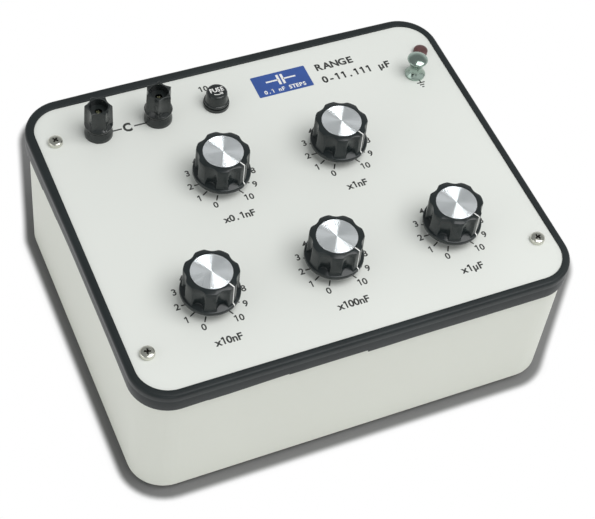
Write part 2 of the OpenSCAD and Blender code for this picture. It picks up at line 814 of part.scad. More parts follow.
// Fuse holder
module fuse_barrel() {
    color(BLACK) translate(FUSE_AT) difference() {
        union() {
            translate([0, 0, panel_z]) cylinder(d = fuse_bezel_d, h = fuse_bezel_h);
            translate([0, 0, barrel_end]) cylinder(d = barrel_d, h = panel_z - barrel_end + eps);
        }
        translate([0, 0, cartridge_z - cartridge_len - air])
            cylinder(d = barrel_bore, h = panel_z + fuse_bezel_h + 1 - cartridge_z + cartridge_len + air);
    }
}

module fuse_nut() {
    color(BLACK) translate([FUSE_AT[0], FUSE_AT[1], rim_z - fuse_nut_t])
        hex_nut(fuse_nut_af, barrel_d + 2 * seat, fuse_nut_t);
}

module fuse_cap() {
    d = fuse_bezel_d - 0.7;
    color(BLACK) translate([FUSE_AT[0], FUSE_AT[1], fuse_cap_z]) rotate_extrude()
        polygon([[0, 0], [d / 2, 0], [d / 2, 1.4], [d / 2 - 0.8, 2], [d / 2 - 1.5, fuse_cap_h - edge],
            [d / 2 - 1.5 - edge, fuse_cap_h], [0, fuse_cap_h]]);
}

module fuse_clip() {
    color(STEEL) translate([FUSE_AT[0], FUSE_AT[1], clip_z - clip_len]) difference() {
        cylinder(d = clip_d, h = clip_len);
        translate([0, 0, -1]) cylinder(d = cartridge_d, h = clip_len + 1 - (clip_z - cartridge_z));
    }
}

module fuse_cartridge() {
    cap_len = 5;
    color([0.85, 0.88, 0.9]) translate([FUSE_AT[0], FUSE_AT[1], cartridge_z - cartridge_len]) {
        cylinder(d = cartridge_d, h = cap_len);
        translate([0, 0, cap_len]) cylinder(d = cartridge_d - 0.4, h = cartridge_len - 2 * cap_len);
        translate([0, 0, cartridge_len - cap_len]) cylinder(d = cartridge_d, h = cap_len);
    }
}

// Earth terminal
module earth_stud() {
    color(STEEL) translate(EARTH_AT) {
        translate([0, 0, earth_end]) cylinder(d = earth_stud_d, h = panel_z + earth_bore_h - 2 - earth_end);
        translate([0, 0, panel_z]) cylinder(d = earth_foot_d, h = earth_flange_t);
    }
}

module earth_washer() {
    color(STEEL) translate([earth_x, earth_y, earth_washer_z])
        ring(earth_foot_d - 1, earth_stud_d + 2 * seat, earth_washer_t);
}

// A waisted nut that closes over the stud
module earth_nut() {
    h = panel_z + earth_h - earth_nut_z;
    foot = earth_foot_d / 2;
    waist = earth_waist_d / 2;
    head = earth_head_d / 2;
    color(STEEL) translate([earth_x, earth_y, earth_nut_z]) difference() {
        rotate_extrude() polygon([[0, 0], [foot, 0], [foot, 1.2], [(foot + waist) / 2, 2.4], [waist, 3.6],
            [waist, 4.4], [head, h - 2.6], [head, h - 1], [head - 0.8, h - 0.3], [head / 2, h], [0, h]]);
        translate([0, 0, -1]) cylinder(d = earth_stud_d + 2 * seat, h = earth_bore_h - 1);
    }
}

// Live wire from the right post through the fuse to the front wafers, and the return wire
// from the rear wafers to the left post
module hookup_wires() {
    fuse_x = FUSE_AT[0];
    tag_x = fuse_x - barrel_d / 2 - fuse_tag_len;
    tag_z = barrel_end + tag_up + wire_d / 2;
    left_x = POST_AT[0][0];
    right_x = POST_AT[1][0];
    post_lug_z = lug_z + lug_plate_t / 2;
    color([0.8, 0.5, 0.35]) {
        wire([[right_x, tail_y, post_lug_z], [right_x, tail_y, tag_z],
            [tag_x - wire_d, post_y, tag_z], [tag_x - 0.1, post_y, tag_z]]);
        wire([[fuse_x, post_y, barrel_end - fuse_tag_len - 0.1], [fuse_x, post_y, live_z - feed_drop],
            [feed_x, feed_y, live_z - feed_drop / 2], [feed_x, feed_y - 2, live_z],
            [feed_x, bus_y, live_z]]);
        wire([[KNOB_AT[2][0] + tap_x, bus_y, live_z], [KNOB_AT[4][0] + tap_x, bus_y, live_z]]);
        wire([[left_x, tail_y, post_lug_z], [left_x, tail_y, back_z], [left_x, bus_y, back_z],
            [KNOB_AT[4][0] - tap_x, bus_y, back_z]]);
        translate([feed_x, bus_y, live_z]) sphere(d = bead_d, $fn = 24);
        for (i = [0 : 4]) {
            side = i < 2 ? -1 : 1;
            x = KNOB_AT[i][0];
            y = KNOB_AT[i][1] + side * tap_y;
            wire([[x + tap_x, bus_y, live_z], [x + tap_x, y, live_z]]);
            wire([[x - tap_x, bus_y, back_z], [x - tap_x, y, back_z]]);
            translate([x + tap_x, bus_y, live_z]) sphere(d = bead_d, $fn = 24);
            translate([x - tap_x, bus_y, back_z]) sphere(d = bead_d, $fn = 24);
        }
    }
}

case_shell();
threaded_inserts();
rubber_feet();
foot_screws();
front_panel();
edge_trim();
panel_screws();
screw_seal();
switch_bushings();
bushing_nuts();
switch_housings();
index_plates();
index_springs();
switch_wafers();
switch_contacts();
wafer_spacers();
tie_screws();
capacitor_boards();
mica_capacitors();
film_capacitors();
large_capacitors();
knob(0);  // knob_0n1
knob(1);  // knob_1n
knob(2);  // knob_10n
knob(3);  // knob_100n
knob(4);  // knob_1u
disc(0);  // disc_0n1
disc(1);  // disc_1n
disc(2);  // disc_10n
disc(3);  // disc_100n
disc(4);  // disc_1u
shaft(0);  // shaft_0n1
shaft(1);  // shaft_1n
shaft(2);  // shaft_10n
shaft(3);  // shaft_100n
shaft(4);  // shaft_1u
rotor(0);  // rotor_0n1
rotor(1);  // rotor_1n
rotor(2);  // rotor_10n
rotor(3);  // rotor_100n
rotor(4);  // rotor_1u
post_bases();
post_insulators();
post_studs();
terminal_nuts();
solder_lugs();
post_insert(0);  // post_insert_left
post_insert(1);  // post_insert_right
post_cap(0);  // post_cap_left
post_cap(1);  // post_cap_right
fuse_barrel();
fuse_nut();
fuse_cap();
fuse_clip();
fuse_cartridge();
earth_stud();
earth_washer();
earth_nut();
hookup_wires();
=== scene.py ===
import json
import math

import bmesh
import bpy
from mathutils import Matrix, Vector


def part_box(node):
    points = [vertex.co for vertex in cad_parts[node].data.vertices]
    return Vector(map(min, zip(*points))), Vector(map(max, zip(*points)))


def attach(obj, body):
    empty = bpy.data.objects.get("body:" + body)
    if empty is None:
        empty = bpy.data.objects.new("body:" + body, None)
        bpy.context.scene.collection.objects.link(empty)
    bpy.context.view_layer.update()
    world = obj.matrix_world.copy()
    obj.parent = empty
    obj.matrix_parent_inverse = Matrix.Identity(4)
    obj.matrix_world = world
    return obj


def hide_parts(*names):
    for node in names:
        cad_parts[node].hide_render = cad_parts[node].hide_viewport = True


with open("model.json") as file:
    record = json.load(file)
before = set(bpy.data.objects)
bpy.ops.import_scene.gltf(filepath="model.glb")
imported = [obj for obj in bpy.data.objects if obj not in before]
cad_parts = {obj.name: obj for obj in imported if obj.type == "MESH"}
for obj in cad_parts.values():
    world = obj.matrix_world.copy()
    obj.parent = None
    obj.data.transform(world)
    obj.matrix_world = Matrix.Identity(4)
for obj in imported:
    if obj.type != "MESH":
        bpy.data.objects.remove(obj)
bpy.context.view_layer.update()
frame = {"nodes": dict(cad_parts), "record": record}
bpy.ops.object.select_all(action="DESELECT")

MM = 0.001
DECADES = ("0n1", "1n", "10n", "100n", "1u")


def corners(node):
    """The lowest and highest corner of a CAD node at rest, in millimetres."""
    low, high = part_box(node)
    return Vector(low) / MM, Vector(high) / MM


def middle(node):
    """The middle of a CAD node, seen from above."""
    low, high = corners(node)
    return round((low.x + high.x) / 2, 2), round((low.y + high.y) / 2, 2)


PANEL_Z = round(corners("front_panel")[1].z, 2)
KNOB_AT = {decade: middle("disc_" + decade) for decade in DECADES}
KNOB_Z = round(corners("knob_0n1")[0].z, 2)
POST_AT = {side: middle("post_insert_" + side) for side in ("left", "right")}
FUSE_AT = middle("fuse_cap")
EARTH_AT = middle("earth_washer")
SCREW_R = 4.15
SCREW_X, SCREW_Y = (round(reach, 2) - SCREW_R for reach in corners("panel_screws")[1][:2])
DIAL_STEP = 30
POINTER = -60


# Shader nodes


def feed(tree, socket, source):
    """Links an input to a socket, or sets it to a value."""
    if isinstance(source, bpy.types.NodeSocket):
        tree.links.new(source, socket)
    elif source is not None:
        socket.default_value = source


def maths(tree, operation, first, second=None, clamp=False):
    node = tree.nodes.new("ShaderNodeMath")
    node.operation = operation
    node.use_clamp = clamp
    feed(tree, node.inputs[0], first)
    feed(tree, node.inputs[1], second)
    return node.outputs[0]


def ranged(tree, source, low=0.0, high=1.0, to=(0.0, 1.0), kind="LINEAR"):
    """A value carried over from one range to another."""
    node = tree.nodes.new("ShaderNodeMapRange")
    node.interpolation_type = kind
    inputs = {"Value": source, "From Min": low, "From Max": high, "To Min": to[0], "To Max": to[1]}
    for label, value in inputs.items():
        feed(tree, node.inputs[label], value)
    return node.outputs["Result"]


def mixed(tree, share, first, second):
    """A colour between two others."""
    node = tree.nodes.new("ShaderNodeMix")
    node.data_type = "RGBA"
    for label, value in (("Factor", share), ("A", first), ("B", second)):
        feed(tree, node.inputs[label], value)
    return node.outputs["Result"]


# Camera, stage and light

# Worked out from the corners of the panel and the middles of the dials in the photo
LENS = 99.95
CAMERA_AT = (-0.2893, -0.5253, 0.8095)
CAMERA_RIGHT = (0.91722, -0.38852, 0.08810)
CAMERA_UP = (0.26034, 0.75194, 0.60565)
CAMERA_BACK = (-0.30155, -0.53258, 0.79084)


def photo_camera():
    data = bpy.data.cameras.new("photo_camera")
    data.sensor_width = 36
    data.lens = LENS
    data.clip_start = 0.02
    camera = bpy.data.objects.new("photo_camera", data)
    turn = Matrix((CAMERA_RIGHT, CAMERA_UP, CAMERA_BACK)).transposed().to_4x4()
    camera.matrix_world = Matrix.Translation(CAMERA_AT) @ turn
    bpy.context.scene.collection.objects.link(camera)
    bpy.context.scene.camera = camera
    bpy.context.scene.view_settings.view_transform = "Standard"


def lamp(name, direction, distance, size, power):
    """A square soft box that faces the middle of the panel."""
    aim = Vector((0, 0, PANEL_Z * MM))
    data = bpy.data.lights.new(name, "AREA")
    data.shape = "SQUARE"
    data.size = size
    data.energy = power
    box = bpy.data.objects.new(name, data)
    towards = Vector(direction).normalized()
    box.location = aim + towards * distance
    box.rotation_euler = towards.to_track_quat("Z", "Y").to_euler()
    bpy.context.scene.collection.objects.link(box)


# Height on the sky and colour there
HORIZON = (0.25, (0.8, 0.8, 0.8, 1))
CEILING = (0.62, (0.3, 0.31, 0.31, 1))


def pale_room():
    """Pale at the horizon and grey above, as in a studio with a plain ceiling."""
    world = bpy.data.worlds.new("pale_room")
    bpy.context.scene.world = world
    world.use_nodes = True
    nodes, links = world.node_tree.nodes, world.node_tree.links
    where = nodes.new("ShaderNodeTexCoord")
    parts = nodes.new("ShaderNodeSeparateXYZ")
    ramp = nodes.new("ShaderNodeValToRGB")
    links.new(where.outputs["Generated"], parts.inputs[0])
    links.new(parts.outputs["Z"], ramp.inputs["Fac"])
    for stop, (height, colour) in zip(ramp.color_ramp.elements, (HORIZON, CEILING)):
        stop.position = height
        stop.color = colour
    links.new(ramp.outputs["Color"], nodes["Background"].inputs["Color"])
    nodes["Background"].inputs["Strength"].default_value = 1


# The middles of the rounded corners of the painted shadow on the floor
SHADOW_BENDS = ((-107, -84), (107, -84), (156, -31), (118, 118), (-88, 158), (-107, 84))
SHADOW_R = 24.5
SHADOW_FADE = 5
# Painted shadow: the dark tone that camera rays see on the floor inside the outline
SHADOW_TONE = (0.22, 0.22, 0.22, 1)
FLOOR_TONE = (0.8, 0.8, 0.8, 1)
FLOOR_SPREAD = 40
CONTACT = 0.012


def pale_floor():
    """A floor that looks white, with a shadow that is partly painted: inside a set outline, and close to what
    stands on it, camera rays see a dark matte tone that the lamps really light.
    """
    count = len(SHADOW_BENDS)
    outline = []
    for index, bend in enumerate(SHADOW_BENDS):
        before, after = SHADOW_BENDS[index - 1], SHADOW_BENDS[(index + 1) % count]
        start = math.degrees(math.atan2(bend[1] - before[1], bend[0] - before[0])) - 90
        end = math.degrees(math.atan2(after[1] - bend[1], after[0] - bend[0])) - 90
        round_r = SHADOW_R + SHADOW_FADE
        outline += [(x, y, 0) for x, y in arc(bend, round_r, start, start + (end - start) % 360, 10)]
    floor = drawn_line("floor", outline + [outline[0]])
    bpy.ops.mesh.select_all(action="SELECT")
    bpy.ops.mesh.remove_doubles(threshold=0.002 * MM)
    bpy.ops.mesh.edge_face_add()
    bpy.ops.mesh.select_all(action="SELECT")
    bpy.ops.mesh.inset(use_boundary=True, use_even_offset=True, thickness=SHADOW_FADE * MM)

    def dark(spot):
        return min((spot - Vector((*bend, 0))).length for bend in SHADOW_BENDS) < SHADOW_R + SHADOW_FADE / 2

    choose(floor, lambda spot: not dark(spot))
    bpy.ops.mesh.extrude_edges_move(TRANSFORM_OT_translate={"value": (0, 0, 0)})
    bpy.ops.transform.resize(value=(FLOOR_SPREAD, FLOOR_SPREAD, 1), center_override=(0, 0, 0))
    clear()
    shadow = floor.data.attributes.new("shadow", "FLOAT", "POINT")
    for vertex, value in zip(floor.data.vertices, shadow.data):
        value.value = float(dark(vertex.co / MM))
    material = bpy.data.materials.new("floor_white")
    material.use_nodes = True
    tree = material.node_tree
    new = tree.nodes.new
    tree.nodes.remove(tree.nodes["Principled BSDF"])
    path = new("ShaderNodeLightPath")
    seen = maths(tree, "ADD", path.outputs["Is Camera Ray"], path.outputs["Is Glossy Ray"], clamp=True)
    seen = maths(tree, "ADD", seen, path.outputs["Is Transmission Ray"], clamp=True)
    # Painted shade: close to what stands on the floor, ambient occlusion turns the white down to the dark
    # matte tone
    open_sky = new("ShaderNodeAmbientOcclusion")
    open_sky.inputs["Distance"].default_value = CONTACT
    open_sky.samples = 16
    fade = ranged(tree, open_sky.outputs["AO"], 0.5, 0.97, kind="SMOOTHSTEP")
    near = new("ShaderNodeAttribute")
    near.attribute_name = "shadow"
    bare = maths(tree, "SUBTRACT", 1.0, ranged(tree, near.outputs["Fac"], kind="SMOOTHSTEP"), clamp=True)
    share = maths(tree, "MULTIPLY", maths(tree, "MULTIPLY", fade, bare, clamp=True), seen, clamp=True)
    matte, white, blend = new("ShaderNodeBsdfDiffuse"), new("ShaderNodeEmission"), new("ShaderNodeMixShader")
    white.inputs["Color"].default_value = (1, 1, 1, 1)
    feed(tree, matte.inputs["Color"], mixed(tree, seen, FLOOR_TONE, SHADOW_TONE))
    for socket, source in zip(blend.inputs, (share, matte.outputs[0], white.outputs[0])):
        feed(tree, socket, source)
    feed(tree, tree.nodes["Material Output"].inputs["Surface"], blend.outputs[0])
    floor.data.materials.append(material)


# Shared surface effects


def effect(name, inputs, outputs):
    """An empty node group with named inputs (kind, first value) and outputs (kind)."""
    group = bpy.data.node_groups.new(name, "ShaderNodeTree")
    kinds = {"number": "NodeSocketFloat", "vector": "NodeSocketVector", "colour": "NodeSocketColor"}
    for label, (kind, value) in inputs.items():
        socket = group.interface.new_socket(name=label, in_out="INPUT", socket_type=kinds[kind])
        if value is not None:
            socket.default_value = value
    for label, kind in outputs.items():
        group.interface.new_socket(name=label, in_out="OUTPUT", socket_type=kinds[kind])
    start = group.nodes.new("NodeGroupInput")
    end = group.nodes.new("NodeGroupOutput")
    return group, start, end


def noise(tree, place, scale, detail=2.0):
    texture = tree.nodes.new("ShaderNodeTexNoise")
    for label, value in (("Vector", place), ("Scale", scale), ("Detail", detail)):
        feed(tree, texture.inputs[label], value)
    return texture.outputs["Fac"]


def make_fine_grain():
    """A fine bumpy skin, as on moulded plastic, enamel and cast metal."""
    group, start, end = effect(
        "fine_grain",
        {"Place": ("vector", None), "Fineness": ("number", 900.0), "Depth": ("number", 0.1)},
        {"Normal": "vector", "Speck": "colour"},
    )
    speck = noise(group, start.outputs["Place"], start.outputs["Fineness"], 3.0)
    bump = group.nodes.new("ShaderNodeBump")
    bump.inputs["Distance"].default_value = 0.0004
    feed(group, bump.inputs["Strength"], start.outputs["Depth"])
    feed(group, bump.inputs["Height"], speck)
    feed(group, end.inputs["Normal"], bump.outputs["Normal"])
    feed(group, end.inputs["Speck"], speck)
    return group


def make_tone_drift():
    """Slow change between two close colours over a surface."""
    group, start, end = effect(
        "tone_drift",
        {
            "Place": ("vector", None),
            "Size": ("number", 12.0),
            "First": ("colour", (0.5, 0.5, 0.5, 1)),
            "Second": ("colour", (0.6, 0.6, 0.6, 1)),
        },
        {"Colour": "colour"},
    )
    cloud = noise(group, start.outputs["Place"], start.outputs["Size"], 4.0)
    tone = mixed(group, ranged(group, cloud, 0.35, 0.65), start.outputs["First"], start.outputs["Second"])
    feed(group, end.inputs["Colour"], tone)
    return group


def make_worn_edge():
    """A second colour on sharp convex edges, broken up by noise."""
    group, start, end = effect(
        "worn_edge",
        {
            "Place": ("vector", None),
            "Colour": ("colour", (0.5, 0.5, 0.5, 1)),
            "Worn": ("colour", (0.7, 0.7, 0.7, 1)),
            "Amount": ("number", 0.4),
        },
        {"Colour": "colour"},
    )
    geometry = group.nodes.new("ShaderNodeNewGeometry")
    edge = ranged(group, geometry.outputs["Pointiness"], 0.52, 0.62)
    rubbed = maths(group, "MULTIPLY", edge, noise(group, start.outputs["Place"], 180.0))
    level = maths(group, "MULTIPLY", rubbed, start.outputs["Amount"])
    feed(group, end.inputs["Colour"], mixed(group, level, start.outputs["Colour"], start.outputs["Worn"]))
    return group


def make_turning_marks():
    """Fine rings round the Z axis through the origin of Place, as a lathe leaves on a face."""
    group, start, end = effect(
        "turning_marks",
        {"Place": ("vector", None), "Rings": ("number", 9000.0), "Slope": ("number", 0.4)},
        {"Normal": "vector", "Sheen_spokes": "number"},
    )

    def vectors(operation, first, second=None):
        node = group.nodes.new("ShaderNodeVectorMath")
        node.operation = operation
        feed(group, node.inputs[0], first)
        feed(group, node.inputs["Scale"] if operation == "SCALE" else node.inputs[1], second)
        return node.outputs["Value" if operation == "LENGTH" else "Vector"]

    flat = vectors("MULTIPLY", start.outputs["Place"], (1, 1, 0))
    outward = vectors("NORMALIZE", flat)
    wave = maths(group, "SINE", maths(group, "MULTIPLY", vectors("LENGTH", flat), start.outputs["Rings"]))
    tilt = vectors("SCALE", outward, maths(group, "MULTIPLY", wave, start.outputs["Slope"]))
    geometry = group.nodes.new("ShaderNodeNewGeometry")
    lean = vectors("ADD", geometry.outputs["Normal"], tilt)
    feed(group, end.inputs["Normal"], vectors("NORMALIZE", lean))
    # Spokes: noise by angle round the axis, used for streaks of painted sheen
    feed(group, end.inputs["Sheen_spokes"], noise(group, outward, 14.0, 3.0))
    return group


GRAIN = make_fine_grain()
DRIFT = make_tone_drift()
WORN = make_worn_edge()
MARKS = make_turning_marks()


# Materials


class Finish:
    """A material being made: its shader, and helpers that place shared effects in it."""

    def __init__(self, name, roughness, metallic=0.0, coat=0.0, specular=0.5):
        self.material = bpy.data.materials.new(name)
        self.material.use_nodes = True
        self.tree = self.material.node_tree
        self.shader = self.tree.nodes["Principled BSDF"]
        self.set("Roughness", roughness)
        self.set("Metallic", metallic)
        self.set("Coat Weight", coat)
        self.set("Specular IOR Level", specular)
        self.place = self.tree.nodes.new("ShaderNodeTexCoord").outputs["Object"]

    def use(self, group, **values):
        node = self.tree.nodes.new("ShaderNodeGroup")
        node.node_tree = group
        for label, source in {"Place": self.place, **values}.items():
            feed(self.tree, node.inputs[label], source)
        return node

    def shift(self, move):
        """Later effects see a moved pattern."""
        mapping = self.tree.nodes.new("ShaderNodeMapping")
        mapping.inputs["Location"].default_value = move
        feed(self.tree, mapping.inputs["Vector"], self.place)
        self.place = mapping.outputs["Vector"]

    def set(self, label, source):
        feed(self.tree, self.shader.inputs[label], source)


def shade(colour, factor):
    return tuple(min(1, c * factor) for c in colour[:3]) + (1,)


def skin(name, colour, roughness, *, drift=0.06, size=12.0, fineness=900.0, depth=0.1, metallic=0.0, coat=0.0,
         worn=None, amount=0.4, specular=0.5, spread=0.08):
    """A finish with slow colour drift, fine grain, uneven gloss and, if asked, worn edges."""
    finish = Finish(name, roughness, metallic, coat, specular)
    tone = finish.use(DRIFT, Size=size, First=shade(colour, 1 - drift), Second=shade(colour, 1 + drift))
    grain = finish.use(GRAIN, Fineness=fineness, Depth=depth)
    last = tone.outputs["Colour"]
    if worn:
        rub = finish.use(WORN, Colour=last, Worn=shade(worn, 1), Amount=amount)
        last = rub.outputs["Colour"]
    finish.set("Base Color", last)
    finish.set("Normal", grain.outputs["Normal"])
    gloss = ranged(finish.tree, grain.outputs["Speck"], to=(roughness - spread, roughness + spread))
    finish.set("Roughness", gloss)
    return finish.material


# Two tints of the disc metal; the spokes between them by angle are partly painted sheen
DISC_DULL = (0.82, 0.87, 0.89, 1)
DISC_BRIGHT = (0.94, 0.97, 0.99, 1)


def spun_disc(name, at):
    """Aluminium turned in fine rings round the middle of one disc, with faint spokes of light in its colour:
    partly the metal's own tone, partly painted sheen.
    """
    finish = Finish(name, 0.13, metallic=1.0)
    finish.shift((-at[0] * MM, -at[1] * MM, 0))
    marks = finish.use(MARKS, Rings=26000.0, Slope=0.8)
    finish.set("Base Color", mixed(finish.tree, marks.outputs["Sheen_spokes"], DISC_DULL, DISC_BRIGHT))
    finish.set("Normal", marks.outputs["Normal"])
    return finish.material


def paint_everything():
    """Gives each CAD node the finish of its material slot."""
    made = {
        "case_plastic": skin("case_cream", (0.755, 0.775, 0.70), 0.5, drift=0.012, size=9.0,
                             fineness=1500.0, depth=0.05, worn=(0.8, 0.8, 0.77), amount=0.2),
        "panel_paint": skin("panel_enamel", (0.79, 0.81, 0.77), 0.42, drift=0.01, size=8.0, fineness=1200.0,
                            depth=0.04),
        "trim_rubber": skin("trim_rubber", (0.017, 0.022, 0.023), 0.42, drift=0.12, size=30.0,
                            fineness=700.0, depth=0.1, worn=(0.036, 0.044, 0.044), amount=0.6,
                            specular=0.25),
        "foot_rubber": skin("foot_rubber", (0.03, 0.03, 0.03), 0.7, drift=0.15, size=60.0, depth=0.2),
        "nickel": skin("nickel_plate", (0.68, 0.68, 0.61), 0.16, drift=0.05, size=150.0, fineness=500.0,
                       depth=0.03, metallic=1.0, spread=0.05),
        # Painted shade: dark metal for the insides of the screws' cross recesses, where shade falls
        "recess_shade": skin("screw_grime", (0.05, 0.048, 0.04), 0.5, drift=0.2, size=200.0, fineness=500.0,
                      metallic=0.5),
        "steel": skin("zinc_plate", (0.6, 0.61, 0.62), 0.35, drift=0.08, size=90.0, fineness=800.0,
                      depth=0.08, metallic=1.0),
        "brass": skin("brass_turned", (0.74, 0.56, 0.25), 0.28, drift=0.08, size=120.0, fineness=900.0,
                      depth=0.05, metallic=1.0),
        "seal_lacquer": skin("seal_lacquer", (0.1, 0.038, 0.037), 0.4, drift=0.2, size=300.0,
                             fineness=500.0, depth=0.3, coat=0.3),
        "phenolic": skin("phenolic_sheet", (0.36, 0.17, 0.07), 0.45, drift=0.15, size=60.0, fineness=600.0,
                         depth=0.1),
        "board_green": skin("board_green", (0.05, 0.2, 0.09), 0.4, drift=0.1, size=60.0, fineness=900.0,
                            depth=0.06),
        "mica_brown": skin("mica_dipped", (0.35, 0.14, 0.05), 0.3, drift=0.12, size=120.0, coat=0.3,
                           depth=0.06),
        "film_red": skin("film_red", (0.42, 0.06, 0.045), 0.35, drift=0.08, size=100.0, coat=0.2,
                         depth=0.05),
        "film_yellow": skin("film_yellow", (0.62, 0.45, 0.06), 0.38, drift=0.08, size=80.0, coat=0.2,
                            depth=0.05),
        "knob_black": skin("knob_gloss", (0.013, 0.018, 0.019), 0.22, coat=0.1, drift=0.15, size=80.0,
                           fineness=700.0, depth=0.02, worn=(0.06, 0.065, 0.065), amount=0.4, specular=0.32,
                           spread=0.05),
        "rotor_nylon": skin("rotor_nylon", (0.74, 0.71, 0.6), 0.4, drift=0.04, size=100.0, depth=0.05),
        "terminal_black": skin("terminal_black", (0.016, 0.02, 0.02), 0.24, coat=0.2, drift=0.12, size=90.0,
                               fineness=700.0, depth=0.03, worn=(0.05, 0.055, 0.05), amount=0.25,
                               specular=0.4, spread=0.06),
        "copper": skin("tinned_wire", (0.68, 0.42, 0.3), 0.3, drift=0.1, size=200.0, metallic=1.0,
                       depth=0.05),
        "print_black": skin("print_black", (0.03, 0.032, 0.03), 0.5, drift=0.1, size=400.0, fineness=1500.0,
                            depth=0.05),
        "print_white": skin("print_white", (0.86, 0.86, 0.84), 0.45, drift=0.02, size=400.0,
                            fineness=1500.0, depth=0.05),
        "label_blue": skin("label_blue", (0.035, 0.09, 0.33), 0.4, drift=0.05, size=150.0, fineness=1300.0,
                           depth=0.04),
        # Chrome with a green-grey tint in its colour, for the earth terminal
        "chrome_green_grey": skin("chrome_green_grey", (0.36, 0.45, 0.4), 0.17, drift=0.06, size=120.0, fineness=500.0,
                            depth=0.03, metallic=1.0, spread=0.05),
    }
    glass = Finish("fuse_glass", 0.03)
    glass.set("Transmission Weight", 1)
    glass.set("Base Color", (0.93, 0.97, 0.96, 1))
    haze = glass.use(GRAIN, Fineness=300.0, Depth=0.02)
    glass.set("Normal", haze.outputs["Normal"])
    made["fuse_glass"] = glass.material
    for entry in frame["record"]["subparts"]:
        name, slot = entry["node"], entry["material_slot"]
        if name in ("earth_stud", "earth_washer"):
            slot = "chrome_green_grey"
        if slot == "disc_aluminium":
            decade = name.split("_")[1]
            dress(frame["nodes"][name], spun_disc("spun_" + decade, KNOB_AT[decade]))
        else:
            dress(frame["nodes"][name], made[slot])
    return made


def dress(piece, material):
    """Gives a piece one material in place of those that it has."""
    piece.data.materials.clear()
    piece.data.materials.append(material)


# Ways of working


def clear():
    """Back to object mode with nothing selected."""
    if bpy.context.object and bpy.context.object.mode != "OBJECT":
        bpy.ops.object.mode_set(mode="OBJECT")
    bpy.ops.object.select_all(action="DESELECT")


def pick(*pieces):
    clear()
    for piece in pieces:
        piece.select_set(True)
    bpy.context.view_layer.objects.active = pieces[0]
    return pieces[0]


def named(name):
    piece = bpy.context.object
    piece.name = name
    piece.data.name = name
    return piece


def settle(piece):
    """Puts the place, turn and scale of an object into its mesh."""
    pick(piece)
    bpy.ops.object.transform_apply(location=True, rotation=True, scale=True)
    return piece


def edit(piece, kind="VERT"):
    pick(piece)
    bpy.ops.object.mode_set(mode="EDIT")
    bpy.ops.mesh.select_mode(type=kind)


def choose(piece, test):
    """Selects the vertices that pass the test, in edit mode. Places are in millimetres."""
    mesh = bmesh.from_edit_mesh(piece.data)
    for vertex in mesh.verts:
        vertex.select = bool(test(vertex.co / MM))
    mesh.select_flush_mode()
    bmesh.update_edit_mesh(piece.data)


def nudge(piece, rule):
    """Moves each vertex by what the rule gives for its place, in millimetres, in groups that move alike."""
    edit(piece)
    groups = {}
    for vertex in bmesh.from_edit_mesh(piece.data).verts:
        move = tuple(round(part, 2) for part in rule(vertex.co / MM))
        if any(move):
            groups.setdefault(move, []).append(vertex.index)
    for move, members in groups.items():
        choose_numbers(piece, members)
        bpy.ops.transform.translate(value=Vector(move) * MM)


def choose_numbers(piece, members):
    """Selects the vertices with these numbers, in edit mode."""
    mesh = bmesh.from_edit_mesh(piece.data)
    mesh.verts.ensure_lookup_table()
    bpy.ops.mesh.select_all(action="DESELECT")
    for index in members:
        mesh.verts[index].select = True
    mesh.select_flush_mode()
    bmesh.update_edit_mesh(piece.data)


def arc(centre, radius, start, end, steps=6, height=None):
    """Points along a round stretch, or an oval one where a height is given. Angles are in degrees."""
    turn = [math.radians(start + (end - start) * index / steps) for index in range(steps + 1)]
    height = radius if height is None else height
    return [(centre[0] + radius * math.cos(a), centre[1] + height * math.sin(a)) for a in turn]


def flowing(points, steps=4):
    """A smooth curve through a few points."""
    ends = [points[0]] + list(points) + [points[-1]]
    line = [points[0]]

    def along(a, b, c, d, t):
        bow = 2 * a - 5 * b + 4 * c - d
        twist = 3 * b - a - 3 * c + d
        return 0.5 * (2 * b + (c - a) * t + bow * t * t + twist * t**3)

    for stretch in zip(ends, ends[1:], ends[2:], ends[3:]):
        for index in range(1, steps + 1):
            line.append(tuple(along(*four, index / steps) for four in zip(*stretch)))
    return line


def between(place, stops):
    """A value read off a list of (place, value) stops."""
    if place <= stops[0][0]:
        return stops[0][1]
    for (a, first), (b, last) in zip(stops, stops[1:]):
        if place <= b:
            return first + (last - first) * (place - a) / (b - a)
    return stops[-1][1]


def tidy_mesh(piece, angle=35):
    """Merges doubles, turns faces outwards and smooths all but sharp edges."""
    edit(piece)
    bpy.ops.mesh.select_all(action="SELECT")
    bpy.ops.mesh.remove_doubles(threshold=0.002 * MM)
    bpy.ops.mesh.normals_make_consistent(inside=False)
    clear()
    pick(piece)
    bpy.ops.object.shade_smooth_by_angle(angle=math.radians(angle))
    return piece


def drawn_line(name, points):
    """A line from point to point, drawn by extruding one vertex. Points are in millimetres."""
    places = [Vector(p) * MM for p in points]
    clear()
    bpy.ops.mesh.primitive_plane_add(size=MM, location=places[0])
    piece = settle(named(name))
    edit(piece)
    bpy.ops.mesh.select_all(action="SELECT")
    bpy.ops.mesh.merge(type="CENTER")
    for here, there in zip(places, places[1:]):
        bpy.ops.mesh.extrude_region_move(TRANSFORM_OT_translate={"value": there - here})
    return piece


def turned(name, outline, at, steps=64, angle=35):
    """A lathe piece: an outline of (radius, height) spun round an upright axis."""
    piece = drawn_line(name, [(at[0] + r, at[1], z) for r, z in outline])
    bpy.ops.mesh.select_all(action="SELECT")
    bpy.ops.mesh.spin(steps=steps, angle=2 * math.pi, center=(at[0] * MM, at[1] * MM, 0), axis=(0, 0, 1))
    return tidy_mesh(piece, angle)


def cut(piece, cutter, operation="DIFFERENCE"):
    pick(piece)
    boolean = piece.modifiers.new("cut", "BOOLEAN")
    boolean.operation = operation
    boolean.object = cutter
    boolean.solver = "EXACT"
    bpy.ops.object.modifier_apply(modifier=boolean.name)
    bpy.data.objects.remove(cutter)
    return piece


